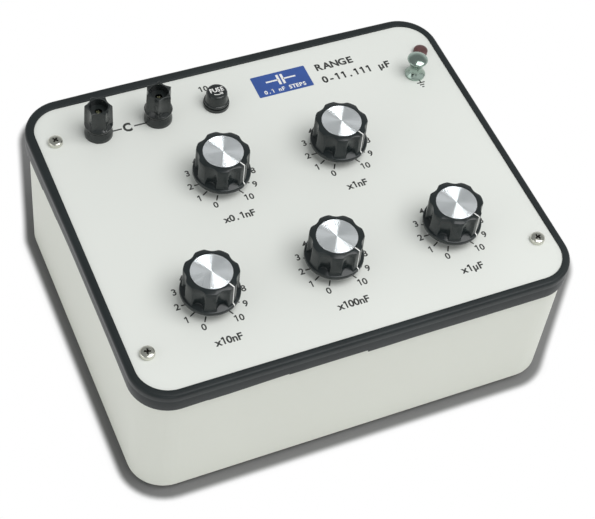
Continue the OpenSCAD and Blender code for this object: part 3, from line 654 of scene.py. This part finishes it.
def soften(piece, width, segments=2, angle=35):
    """Rounds the sharp edges."""
    pick(piece)
    bevel = piece.modifiers.new("soft_edges", "BEVEL")
    bevel.width = width * MM
    bevel.segments = segments
    bevel.limit_method = "ANGLE"
    bevel.angle_limit = math.radians(angle)
    bevel.use_clamp_overlap = True
    bpy.ops.object.modifier_apply(modifier=bevel.name)
    return piece


def joined(name, pieces):
    """Several meshes made one."""
    pick(*pieces)
    if len(pieces) > 1:
        bpy.ops.object.join()
    piece = named(name)
    return settle(piece)


def copied(piece, name, move, turn=0.0):
    """A copy with its own mesh, turned round the Z axis and moved by so many millimetres."""
    pick(piece)
    bpy.ops.object.duplicate(linked=False)
    if turn:
        bpy.ops.transform.rotate(value=-math.radians(turn), orient_axis="Z", center_override=(0, 0, 0))
    bpy.ops.transform.translate(value=Vector(move) * MM)
    return settle(named(name))


def place(piece, body, slot, material, *nodes):
    """Puts a finished piece on its body and hides the CAD nodes that it stands in for. With no material it
    keeps its own.
    """
    if material:
        dress(piece, material)
    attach(piece, body)
    if nodes:
        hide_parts(*nodes)
    return piece


def stroke(start, end, width, z=PANEL_Z, proud=0.03):
    """A printed line between two points on the panel."""
    along = Vector((end[0] - start[0], end[1] - start[1], 0))
    side = Vector((-along.y, along.x, 0)).normalized() * width
    corner = Vector((start[0], start[1], z + proud)) - side / 2
    line = drawn_line("stroke", [corner, corner + along])
    bpy.ops.mesh.select_all(action="SELECT")
    bpy.ops.mesh.extrude_region_move(TRANSFORM_OT_translate={"value": side * MM})
    bpy.ops.mesh.select_all(action="SELECT")
    bpy.ops.mesh.extrude_region_move(TRANSFORM_OT_translate={"value": (0, 0, -2 * proud * MM)})
    return tidy_mesh(line)


def sign(letter, foot, z, height, weight, wide=1.0):
    """One printed letter or digit that stands on a point of its line. Weight thickens it on every side."""
    x, y = foot
    if letter == "1":
        bar = 0.11 * height + 2 * weight
        shaft = stroke((x + 0.06 * height, y), (x + 0.06 * height, y + height), bar, z)
        flag = stroke((x - 0.22 * height, y + 0.76 * height), (x + 0.08 * height, y + 0.95 * height), bar, z)
        return joined("one", [shaft, flag])
    clear()
    bpy.ops.object.text_add(location=(0, 0, 0))
    piece = bpy.context.object
    piece.data.body = letter
    piece.data.size = height / 0.729 * MM
    piece.data.offset = weight * MM
    piece.data.extrude = 0.02 * MM
    piece.data.resolution_u = 3
    bpy.ops.object.convert(target="MESH")
    piece = settle(bpy.context.object)
    across = [v.co.x for v in piece.data.vertices]
    piece.scale.x = wide
    piece.location = Vector((x * MM - wide * (min(across) + max(across)) / 2, y * MM, z * MM))
    return settle(piece)


def lettering(words, at, z, height, pitch, weight=0.12, wide=1.0):
    """Printed letters on one line, a fixed pitch apart and centred on a point."""
    first = at[0] - pitch * (len(words) - 1) / 2
    foot = at[1] - height / 2
    return [sign(letter, (first + pitch * index, foot), z, height, weight, wide)
            for index, letter in enumerate(words) if letter != " "]


def polar(at, radius, angle):
    """A point at a distance and an angle, in degrees, from another point."""
    return (at[0] + radius * math.cos(math.radians(angle)), at[1] + radius * math.sin(math.radians(angle)))


# Lobed forms, for the knobs and the post caps


def lobe_radius(phase, lobes, tip, floor, flute, blend):
    """Distance from the axis to a fluted side, at an angle from the middle of a lobe."""
    centre = floor + flute
    angle = math.radians(180 / lobes - abs(phase))
    inside = flute**2 - (centre * math.sin(angle)) ** 2
    if inside <= 0:
        return tip
    groove = centre * math.cos(angle) - math.sqrt(inside)
    share = max(0.0, min(1.0, 0.5 + 0.5 * (groove - tip) / blend))
    return groove * (1 - share) + tip * share - blend * share * (1 - share)


def round_row(radius, z):
    return lambda phase: (radius, z)


def lobed_form(name, lobes, columns, turn, rows, seat):
    """A ring of points, extruded row by row.

    Each row gives radius and height for an angle from the middle of a lobe. The seat says whether a flat floor
    closes the first ring.
    """
    count = lobes * columns
    first_r, first_z = rows[0](0)
    clear()
    bpy.ops.mesh.primitive_circle_add(vertices=count, radius=first_r * MM,
                                      fill_type="TRIFAN" if seat else "NOTHING",
                                      location=(0, 0, first_z * MM), rotation=(0, 0, math.radians(90 + turn)))
    piece = settle(named(name))

    def phase_of(angle):
        return round(abs((angle - turn + 180 / lobes) % (360 / lobes) - 180 / lobes), 3)

    edit(piece)
    choose(piece, lambda p: p.to_2d().length > first_r * 0.99)
    last = {}
    for row in rows[1:]:
        bpy.ops.mesh.extrude_edges_move(TRANSFORM_OT_translate={"value": (0, 0, 0)})
        groups = {}
        for vertex in bmesh.from_edit_mesh(piece.data).verts:
            if vertex.select:
                phase = phase_of(math.degrees(math.atan2(vertex.co.y, vertex.co.x)))
                nearest = min(last or groups, key=lambda known: abs(known - phase), default=phase)
                groups.setdefault(nearest if abs(nearest - phase) < 0.01 else phase, []).append(vertex.index)
        for phase, members in groups.items():
            choose_numbers(piece, members)
            (old_r, old_z), (new_r, new_z) = last.get(phase, (first_r, first_z)), row(phase)
            grow = (new_r / old_r, new_r / old_r, 1)
            bpy.ops.transform.resize(value=grow, center_override=(0, 0, old_z * MM))
            bpy.ops.transform.translate(value=(0, 0, (new_z - old_z) * MM))
            last[phase] = (new_r, new_z)
        choose_numbers(piece, [index for members in groups.values() for index in members])
    return piece


# The knob

KNOB_LOBES = 7
KNOB_TOP = 17.4
KNOB_RIM = 11.7
KNOB_SEAT_R = 11.56
KNOB_TIP_R = 15.2
KNOB_BORE_R = 3.03
KNOB_BORE_DEEP = 13.8
SKIRT_R = 16.5
SET_SCREW_R = 1.5
SET_SCREW_Z = 7
RING_SLOPE = 0.08
SKIRT_EDGE = [(15.8, 2.58), (16.25, 2.38), (16.45, 2.05), (SKIRT_R, 1.6)]


def knob_rows():
    """From the disc seat outwards over the dark ring, down the lobes, over the skirt and into the bore."""
    def grip(level, z, inset=0.0, slope=0.0):
        def row(phase):
            tip, floor, flute = KNOB_TIP_R - 0.1 * level, 12.6 + 1.1 * level, 3.6 + 3 * level
            radius = lobe_radius(phase, KNOB_LOBES, tip, floor, flute, 1.0) - inset
            return radius, KNOB_Z + z - slope * (radius - KNOB_RIM)
        return row

    return [
        round_row(KNOB_SEAT_R, KNOB_Z + 16.5),
        round_row(KNOB_SEAT_R, KNOB_Z + KNOB_TOP - 0.1),
        round_row(KNOB_RIM, KNOB_Z + KNOB_TOP),
        grip(1, KNOB_TOP, 0.25, RING_SLOPE),
        grip(1, KNOB_TOP - 0.08, 0.08, RING_SLOPE),
        grip(1, KNOB_TOP - 0.28, 0, RING_SLOPE),
        grip(0.75, 13.6),
        grip(0.4, 9.2),
        grip(0.08, 5.2),
        grip(0, 4.42, 0, 0.42),
        grip(0, 4.14, -0.2, 0.42),
        *(round_row(radius, KNOB_Z + z) for radius, z in SKIRT_EDGE),
        round_row(SKIRT_R, KNOB_Z + 0.45),
        round_row(SKIRT_R - 0.1, KNOB_Z + 0.15),
        round_row(SKIRT_R - 0.4, KNOB_Z),
        round_row(7.0, KNOB_Z),
        round_row(KNOB_BORE_R, KNOB_Z),
        round_row(KNOB_BORE_R, KNOB_Z + KNOB_BORE_DEEP),
    ]


def shaped_knob(name):
    """The lobed body, with the hole of its set screw opposite the white line."""
    knob = lobed_form(name, KNOB_LOBES, 24, POINTER, knob_rows(), True)
    bpy.ops.mesh.fill()
    tidy_mesh(knob, 32)
    clear()
    bpy.ops.mesh.primitive_cylinder_add(vertices=24, radius=SET_SCREW_R * MM, depth=12 * MM,
                                        location=(9 * MM, 0, (KNOB_Z + SET_SCREW_Z) * MM),
                                        rotation=(0, math.pi / 2, 0))
    drill = settle(named("drill"))
    pick(drill)
    bpy.ops.transform.rotate(value=-math.radians(POINTER + 180), orient_axis="Z", center_override=(0, 0, 0))
    return cut(knob, settle(drill))


LINE_WIDTH = 0.62


def index_line(name):
    """White paint from the disc over the ring and down one lobe to the foot of the skirt."""
    ring_z = KNOB_TOP - RING_SLOPE * (14.85 - KNOB_RIM)
    paint = 0.05
    outline = [(KNOB_RIM + paint, KNOB_TOP + 0.02), (14.85, ring_z + 0.02), (15.05, ring_z - 0.1),
               (15.13, ring_z - 0.4), (15.24, 4.2), (15.28, 3.2), (15.5, 2.84), (15.8, 2.66), (16.25, 2.46),
               (16.5, 2.08), (SKIRT_R + paint, 1.6), (SKIRT_R + paint, 0.9)]
    turn = math.radians(POINTER)
    out = Vector((math.cos(turn), math.sin(turn), 0))
    side = Vector((-out.y, out.x, 0)) * LINE_WIDTH
    line = drawn_line(name, [out * r + Vector((0, 0, KNOB_Z + z)) - side / 2 for r, z in outline])
    bpy.ops.mesh.select_all(action="SELECT")
    bpy.ops.mesh.extrude_region_move(TRANSFORM_OT_translate={"value": side * MM})
    clear()
    pick(line)
    thick = line.modifiers.new("thick", "SOLIDIFY")
    thick.thickness = 0.1 * MM
    thick.offset = 0
    bpy.ops.object.modifier_apply(modifier=thick.name)
    return tidy_mesh(line, 30)


# The edge trim

TRIM_ROOM = 0.8
TRIM_HALF = [round(reach, 2) - TRIM_ROOM for reach in corners("edge_trim")[1][:2]]
TRIM_R = 22.25
TRIM_FRONT = 0.7
TRIM_TOP = PANEL_Z + 0.9
TRIM_FOOT = PANEL_Z - 10.4
NOTCHES = (-92.5, -47, -1)
# How far the soft trim departs from a straight run, as (place, millimetres) along a side
BACK_SWELL = [(-107, 0.79), (60, 0.79), (107, 0.5)]
BACK_CREST = [(-107, 0.9), (-70, 1.3), (-20, 1.0), (40, 0.8), (107, 0.3)]
LEFT_SWELL = [(10, 0), (45, 0.5), (70, 0.8)]
LEFT_DROP = [(-84, 1.8), (-60, 0.3), (0, 0.2), (31.7, 0.5), (31.9, 1.0), (55.6, 1.2), (55.8, 2.2), (84, 2.4)]
FRONT_DROP = [(-107, 1.9), (-92.6, 1.4), (-92.4, 1.7), (-80, 1.6), (-60, 0.7), (-47.1, 0.2), (-46.9, 0.9),
              (-20, 0.75), (-1.1, 0.7), (-0.9, 2.1), (15, 2.0), (30, 1.6), (60, 1.8), (107, 1.6)]


def trim_set(spot):
    """The move of one point of the trim, from where it lies on the section and along the edge."""
    x, y, z = spot
    half_x, half_y = TRIM_HALF[0] - TRIM_R, TRIM_HALF[1] - TRIM_R
    out = Vector((x - max(-half_x, min(half_x, x)), y - max(-half_y - TRIM_FRONT, min(half_y, y)), 0))
    radius = out.length
    out.normalize()
    back, left, front = max(0, out.y) ** 2, max(0, -out.x) ** 2, max(0, -out.y) ** 2
    swell = back * between(x, BACK_SWELL) + left * between(y, LEFT_SWELL)
    if radius < 18.4:
        return -out * 0.3 * back
    move = out * swell * min(1, (radius - 18.4) / 2)
    if z > PANEL_Z + 0.3:
        move.z += back * between(x, BACK_CREST) - 0.3 * front
    if z < TRIM_FOOT + 0.9:
        move.z -= front * between(x, FRONT_DROP) + left * between(y, LEFT_DROP)
    return move


def edge_trim():
    """Extruded along the sides and spun round the corners, from the joint in the back side and back to it."""
    half_x, half_y = TRIM_HALF[0] - TRIM_R, TRIM_HALF[1] - TRIM_R
    gap = 0.02
    lip = TRIM_R - 4.5
    section = [(lip, PANEL_Z + 0.02), (lip, PANEL_Z + 0.45)]
    section += arc((lip + 0.45, PANEL_Z + 0.45), 0.45, 150, 90, 3)
    section += arc((TRIM_R - 1.75, TRIM_TOP - 2), 1.75, 90, 0, 8, 2)
    section += [(TRIM_R, PANEL_Z - 3.6), (TRIM_R - 0.07, PANEL_Z - 3.9), (TRIM_R, PANEL_Z - 4.3)]
    section += arc((TRIM_R - 0.6, TRIM_FOOT + 0.7), 0.6, 0, -90, 4, 0.7)
    section += [(TRIM_R - 1.17, TRIM_FOOT + 0.05), (TRIM_R - 1.19, PANEL_Z + 0.02)]
    outline = [Vector((-gap, half_y + r, z)) for r, z in section]
    piece = drawn_line("edge_trim_shape", outline + [outline[0]])
    bpy.ops.mesh.select_all(action="SELECT")
    bpy.ops.mesh.remove_doubles(threshold=0.002 * MM)
    bpy.ops.mesh.edge_face_add()

    def run(x, y, parts):
        for _ in range(parts):
            bpy.ops.mesh.extrude_region_move(TRANSFORM_OT_translate={"value": Vector((x, y, 0)) * MM / parts})

    def corner(x, y):
        bpy.ops.mesh.spin(steps=14, angle=-math.pi / 2, center=(x * MM, y * MM, 0), axis=(0, 0, 1))

    low_y = -half_y - TRIM_FRONT
    run(gap - half_x, 0, 8)
    corner(-half_x, half_y)
    run(0, 55.8 - half_y, 3)
    run(0, -0.2, 1)
    run(0, 31.9 - 55.6, 2)
    run(0, -0.2, 1)
    run(0, low_y - 31.7, 8)
    corner(-half_x, low_y)
    reached = -half_x
    for notch in NOTCHES:
        run(notch - 0.1 - reached, 0, 4)
        run(0.2, 0, 1)
        reached = notch + 0.1
    run(half_x - reached, 0, 8)
    corner(half_x, low_y)
    run(0, half_y - low_y, 12)
    corner(half_x, half_y)
    run(gap - half_x, 0, 8)
    nudge(piece, trim_set)
    return tidy_mesh(piece, 40)


# Terminals, fuse and screws


POST_R = 8.2
POST_HOLE_R = 3.06
SPIGOT_R = 4.5
COLLAR_R = 6.56


def post_base(name, at):
    """A round foot with a sloping shoulder and a recess for the collar of the stud."""
    outline = [(POST_HOLE_R, 5.02), (COLLAR_R, 5.02), (COLLAR_R, 5.6), (7.08, 5.6), (7.2, 5.4), (7.25, 5),
               (7.5, 4.3), (7.9, 3.1), (POST_R - 0.05, 2.4), (POST_R, 2), (POST_R, 0.02), (SPIGOT_R, 0.02),
               (SPIGOT_R, -2), (POST_HOLE_R, -2), (POST_HOLE_R, 5.02)]
    return turned(name, [(r, PANEL_Z + z) for r, z in outline], at, 64, 25)


CAP_LOBES = 6
CAP_HOLE_R = 2.15
CAP_WELL_R = 5.3
CAP_THROAT_R = 3.4
SLEEVE_ROOM_R = 4.56
CAP_Z = round(corners("post_cap_left")[0].z, 2)
CAP_TURN = {"left": -18, "right": 9}


def cap_rows():
    """From the plug hole over the recess and the rim, down the flutes, over the ledge and up the inside."""
    def flute(level, z, inset=0.0, slope=0.0):
        def row(phase):
            radius = lobe_radius(phase, CAP_LOBES, POST_R - 0.35 * level, 6.1, 9.0, 0.35) - inset
            return radius, CAP_Z + z - slope * (radius - 6.0)
        return row

    return [
        round_row(CAP_HOLE_R, CAP_Z + 11.1),
        round_row(CAP_WELL_R, CAP_Z + 11.1),
        round_row(CAP_WELL_R, CAP_Z + 15.45),
        round_row(CAP_WELL_R + 0.2, CAP_Z + 15.7),
        flute(1, 15.7, 0.3),
        flute(1, 15.6, 0.09),
        flute(1, 15.35),
        flute(0.5, 9.8),
        flute(0.05, 4.2),
        flute(0, 3.7, 0, 0.95),
        flute(0, 3.5, -0.12, 0.95),
        round_row(POST_R, CAP_Z + 1.5),
        round_row(POST_R, CAP_Z + 1.3),
        round_row(POST_R - 0.2, CAP_Z + 1.05),
        round_row(7.3, CAP_Z + 0.15),
        round_row(7.15, CAP_Z),
        round_row(SLEEVE_ROOM_R, CAP_Z),
        round_row(SLEEVE_ROOM_R, CAP_Z + 7.1),
        round_row(CAP_THROAT_R, CAP_Z + 7.1),
        round_row(CAP_THROAT_R, CAP_Z + 10.42),
        round_row(CAP_HOLE_R, CAP_Z + 10.42),
        round_row(CAP_HOLE_R, CAP_Z + 11.1),
    ]


def flange_rim(name, at):
    """Black rim moulded over the flange of the metal sleeve."""
    low = round(corners("post_insert_left")[0].z, 2)
    return turned(name, [(4.62, low + 0.92), (6.53, low + 0.92), (6.53, low + 0.05), (7.18, low + 0.05),
                         (7.2, low + 0.12), (7.2, low + 0.85), (7.1, low + 0.95), (6.9, low + 1.0),
                         (4.62, low + 1.0), (4.62, low + 0.92)], at, 64)


FUSE_TOP = round(corners("fuse_cap")[1].z, 2)


def fuse_cap(name, at):
    """A flange, a tapered grip and a rounded top edge."""
    foot = round(corners("fuse_cap")[0].z, 2)
    outline = [(0, foot), (6.9, foot), (7.25, foot + 0.15), (7.3, foot + 0.4), (7.3, foot + 1.2)]
    outline += arc((7.0, foot + 1.2), 0.3, 30, 90, 3, 0.4) + [(6.75, foot + 1.75), (6.6, foot + 2.1)]
    outline += [(6.5, foot + 2.8), (6.2, FUSE_TOP - 1.7)] + arc((4.7, FUSE_TOP - 1.5), 1.45, 0, 90, 7, 1.48)
    return turned(name, outline + [(0, FUSE_TOP - 0.01)], at, 72)


EARTH_FOOT = PANEL_Z + 0.75
EARTH_TOP = round(corners("earth_nut")[1].z, 2)


def earth_nut(name, at):
    """A head on a long taper, a waist and a flared foot that hides the washer."""
    low, top = EARTH_FOOT, EARTH_TOP
    side = flowing([(6.1, low + 0.6), (5.4, low + 1.6), (4.5, low + 3.2), (3.85, low + 5.2), (4.1, low + 7.2),
                    (5.0, low + 9.8), (5.85, top - 2.8), (6.18, top - 2.05)], 4)
    outline = [(5.75, low + 0.15), (5.85, low), (6.0, low), (6.1, low + 0.12)] + side
    outline += flowing([(6.12, top - 1.75), (5.6, top - 1.25), (4.7, top - 0.78), (3.5, top - 0.33),
                        (2.2, top - 0.09), (1.2, top - 0.02), (0, top)], 3)
    outline += [(0, top - 6.4), (2.56, top - 6.4), (2.56, low + 2.0), (5.2, low + 1.35), (5.75, low + 0.15)]
    return turned(name, outline, at, 72)


SHANK_R = 2.0
SHANK_END = PANEL_Z - 12.3
RECESS_SPAN = 5.4
RECESS_WIDTH = 1.5
RECESS_DEEP = 2.1


def pan_screw(name, metal, recess_shade):
    """A pan head with a plain shank, and a cross recess painted dark, as shade falls there."""
    top = PANEL_Z + 3.1
    outline = [(0, top), (1.6, top - 0.03), (2.7, top - 0.16)] + arc((3.2, top - 1.3), 0.95, 75, 0, 5, 1.0)
    outline += [(SCREW_R, PANEL_Z + 0.3), (SCREW_R - 0.1, PANEL_Z + 0.02), (SHANK_R, PANEL_Z + 0.02),
                (SHANK_R, SHANK_END + 0.5), (SHANK_R - 0.5, SHANK_END), (0, SHANK_END)]
    head = turned(name, outline, (0, 0), 48)
    for turn in (0, 90):
        clear()
        bpy.ops.mesh.primitive_cube_add(size=1, location=(0, 0, 0))
        bar = named("bar")
        bar.scale = (RECESS_SPAN * MM, RECESS_WIDTH * MM, 2 * RECESS_DEEP * MM)
        bar.location = (0, 0, top * MM)
        settle(bar)
        edit(bar)
        choose(bar, lambda p: p.z < top)
        bpy.ops.transform.resize(value=(0.4, 0.55, 1), center_override=(0, 0, 0))
        clear()
        pick(bar)
        bpy.ops.transform.rotate(value=-math.radians(turn), orient_axis="Z", center_override=(0, 0, 0))
        cut(head, settle(bar))
    soften(head, 0.08, 2, 45)
    tidy_mesh(head, 35)
    dress(head, metal)
    head.data.materials.append(recess_shade)
    # The faces inside the cross recess take the second material, a painted shade
    edit(head, "FACE")
    mesh = bmesh.from_edit_mesh(head.data)
    for face in mesh.faces:
        spot = face.calc_center_median() / MM
        face.select = spot.to_2d().length < RECESS_SPAN / 2 + 0.05 and PANEL_Z + 0.5 < spot.z < top - 0.3
    bmesh.update_edit_mesh(head.data)
    head.active_material_index = 1
    bpy.ops.object.material_slot_assign()
    clear()
    return head


# What is printed on the panel


TICK_FROM, TICK_TO, TICK_WIDTH = 12.4, 16.2, 0.75
NUMBER_R = {value: 19.3 for value in range(11)} | {2: 18.5, 10: 20.0}
LEGEND_DROP = 28.4


def dial_print():
    """Ticks and numbers from 0 to 10 round a knob, 30 degrees apart."""
    marks = []
    for value in range(11):
        angle = -120 - DIAL_STEP * value
        marks.append(stroke(polar((0, 0), TICK_FROM, angle), polar((0, 0), TICK_TO, angle), TICK_WIDTH))
        spot = polar((0, 0), NUMBER_R[value], angle)
        marks += lettering(str(value), spot, PANEL_Z, 4.2, 3.0, 0.13)
    return joined("dial_print", marks)


def panel_print():
    """All black print: dials, multipliers, titles, terminals, fuse and earth symbol."""
    first = dial_print()
    marks = [copied(first, "dial_print_" + decade, (*KNOB_AT[decade], 0)) for decade in DECADES]
    bpy.data.objects.remove(first)
    legends = {"0n1": "x0.1nF", "1n": "x1nF", "10n": "x10nF", "100n": "x100nF", "1u": "x1µF"}
    for decade, words in legends.items():
        x, y = KNOB_AT[decade]
        marks += lettering(words, (x, y - LEGEND_DROP), PANEL_Z, 4.6, 3.4 if decade == "1u" else 3.1, 0.19)
    marks += lettering("C", (-73.1, 75.3), PANEL_Z, 6.2, 1, 0.4, 0.84)
    marks.append(stroke((-82.5, 74.9), (-76.4, 74.9), 0.95))
    marks.append(stroke((-69.0, 74.9), (-61.8, 74.9), 0.95))
    marks += lettering("10", (FUSE_AT[0] - 3, FUSE_AT[1] + 13.6), PANEL_Z, 4.2, 3.2, 0.16)
    marks += lettering("RANGE", (61.5, 84.6), PANEL_Z, 5.2, 5.05, 0.26)
    marks += lettering("0-11.111 µF", (71.5, 74.2), PANEL_Z, 5.2, 4.1, 0.26)
    x, y = EARTH_AT[0] + 0.5, EARTH_AT[1] - 7.6
    marks.append(stroke((x, y), (x, y + 2.2), 0.75))
    for index, half in enumerate((2.5, 1.45, 0.7)):
        marks.append(stroke((x - half, y - 1.7 * index), (x + half, y - 1.7 * index), 0.78))
    return joined("panel_print", marks)


LABEL_AT = (25.65, 80.3)
LABEL_WIDE, LABEL_DEEP, LABEL_THICK = 34.7, 16.6, 0.16


def label_plate():
    """A thin blue plate with rounded corners, stuck on the panel."""
    clear()
    bpy.ops.mesh.primitive_cube_add(size=1)
    plate = named("label_plate")
    plate.scale = (LABEL_WIDE * MM, LABEL_DEEP * MM, LABEL_THICK * MM)
    plate.location = (LABEL_AT[0] * MM, LABEL_AT[1] * MM, (PANEL_Z + 0.06) * MM)
    settle(plate)
    edit(plate, "EDGE")
    bpy.ops.mesh.select_all(action="DESELECT")
    mesh = bmesh.from_edit_mesh(plate.data)
    for edge in mesh.edges:
        edge.select = abs(edge.verts[0].co.z - edge.verts[1].co.z) > 0.1 * MM
    bmesh.update_edit_mesh(plate.data)
    bpy.ops.mesh.bevel(offset=0.5 * MM, segments=4)
    return tidy_mesh(plate)


def label_sign():
    """A capacitor symbol over a line that names the smallest step."""
    x, y = LABEL_AT
    z = PANEL_Z + 0.15
    parts = [
        stroke((x - 9.5, y + 2.2), (x - 1.6, y + 2.2), 1.1, z),
        stroke((x + 1.6, y + 2.2), (x + 9.5, y + 2.2), 1.1, z),
        stroke((x - 1.3, y - 1.7), (x - 1.3, y + 6.1), 1.5, z),
        stroke((x + 1.3, y - 1.7), (x + 1.3, y + 6.1), 1.5, z),
    ]
    parts += lettering("0.1 nF STEPS", (x, y - 5.2), z, 2.9, 2.25, 0.12)
    return joined("label_sign", parts)


def fuse_sign():
    """The word FUSE over a bent arrow that shows the way to turn."""
    x, y = FUSE_AT
    z = FUSE_TOP + 0.01
    parts = lettering("FUSE", (x, y + 0.9), z, 3.2, 2.2, 0.11, 0.88)
    bend = arc((x, y + 1.6), 4.6, -124, -62, 6)
    parts += [stroke(here, there, 0.5, z) for here, there in zip(bend, bend[1:])]
    tip = (x + 2.6, y - 1.9)
    parts += [stroke((tip[0] - over, tip[1] + up), tip, 0.5, z) for over, up in ((0.2, -1.4), (1.6, 0.3))]
    return joined("fuse_sign", parts)


# Make everything

photo_camera()
pale_room()
lamp("key_box", (0.29, -0.26, 0.92), 1.5, 1.15, 16.3)
lamp("left_fill", (-0.95, -0.12, 0.3), 1.2, 0.9, 1.9)
pale_floor()
made = paint_everything()

place(edge_trim(), "box", "trim_rubber", made["trim_rubber"], "edge_trim")

first_knob = shaped_knob("knob_first")
first_line = index_line("line_first")
for decade in DECADES:
    x, y = KNOB_AT[decade]
    body = "dial_" + decade
    grip = copied(first_knob, "grip_" + decade, (x, y, 0))
    place(grip, body, "knob_black", made["knob_black"], "knob_" + decade)
    line = copied(first_line, "pointer_" + decade, (x, y, 0))
    place(line, body, "print_white", made["print_white"])
for spare in (first_knob, first_line):
    bpy.data.objects.remove(spare)

first_cap = tidy_mesh(lobed_form("cap_first", CAP_LOBES, 16, 0, cap_rows(), False), 30)
for side, (x, y) in POST_AT.items():
    cap = copied(first_cap, "post_grip_" + side, (x, y, 0), CAP_TURN[side])
    place(cap, "post_cap_" + side, "terminal_black", made["terminal_black"], "post_cap_" + side)
    rim = flange_rim("flange_rim_" + side, (x, y))
    place(rim, "post_sleeve_" + side, "terminal_black", made["terminal_black"])
bpy.data.objects.remove(first_cap)
bases = joined("post_feet", [post_base("foot_" + side, at) for side, at in POST_AT.items()])
place(bases, "box", "terminal_black", made["terminal_black"], "post_bases")

place(fuse_cap("fuse_grip", FUSE_AT), "fuse_cap", "terminal_black", made["terminal_black"], "fuse_cap")
place(fuse_sign(), "fuse_cap", "print_white", made["print_white"])
place(earth_nut("earth_grip", EARTH_AT), "earth_nut", "nickel", made["chrome_green_grey"], "earth_nut")

first_screw = pan_screw("screw_first", made["nickel"], made["recess_shade"])
screws = [copied(first_screw, "screw_%d" % index, (x * SCREW_X, y * SCREW_Y, 0), turn)
          for index, (x, y, turn) in enumerate(((-1, 1, 45), (-1, -1, 74), (1, -1, 20), (1, 1, 60)))]
bpy.data.objects.remove(first_screw)
place(joined("panel_screw_set", screws), "box", "nickel", None, "panel_screws")

place(panel_print(), "box", "print_black", made["print_black"])
place(label_plate(), "box", "label_blue", made["label_blue"])
place(label_sign(), "box", "print_white", made["print_white"])
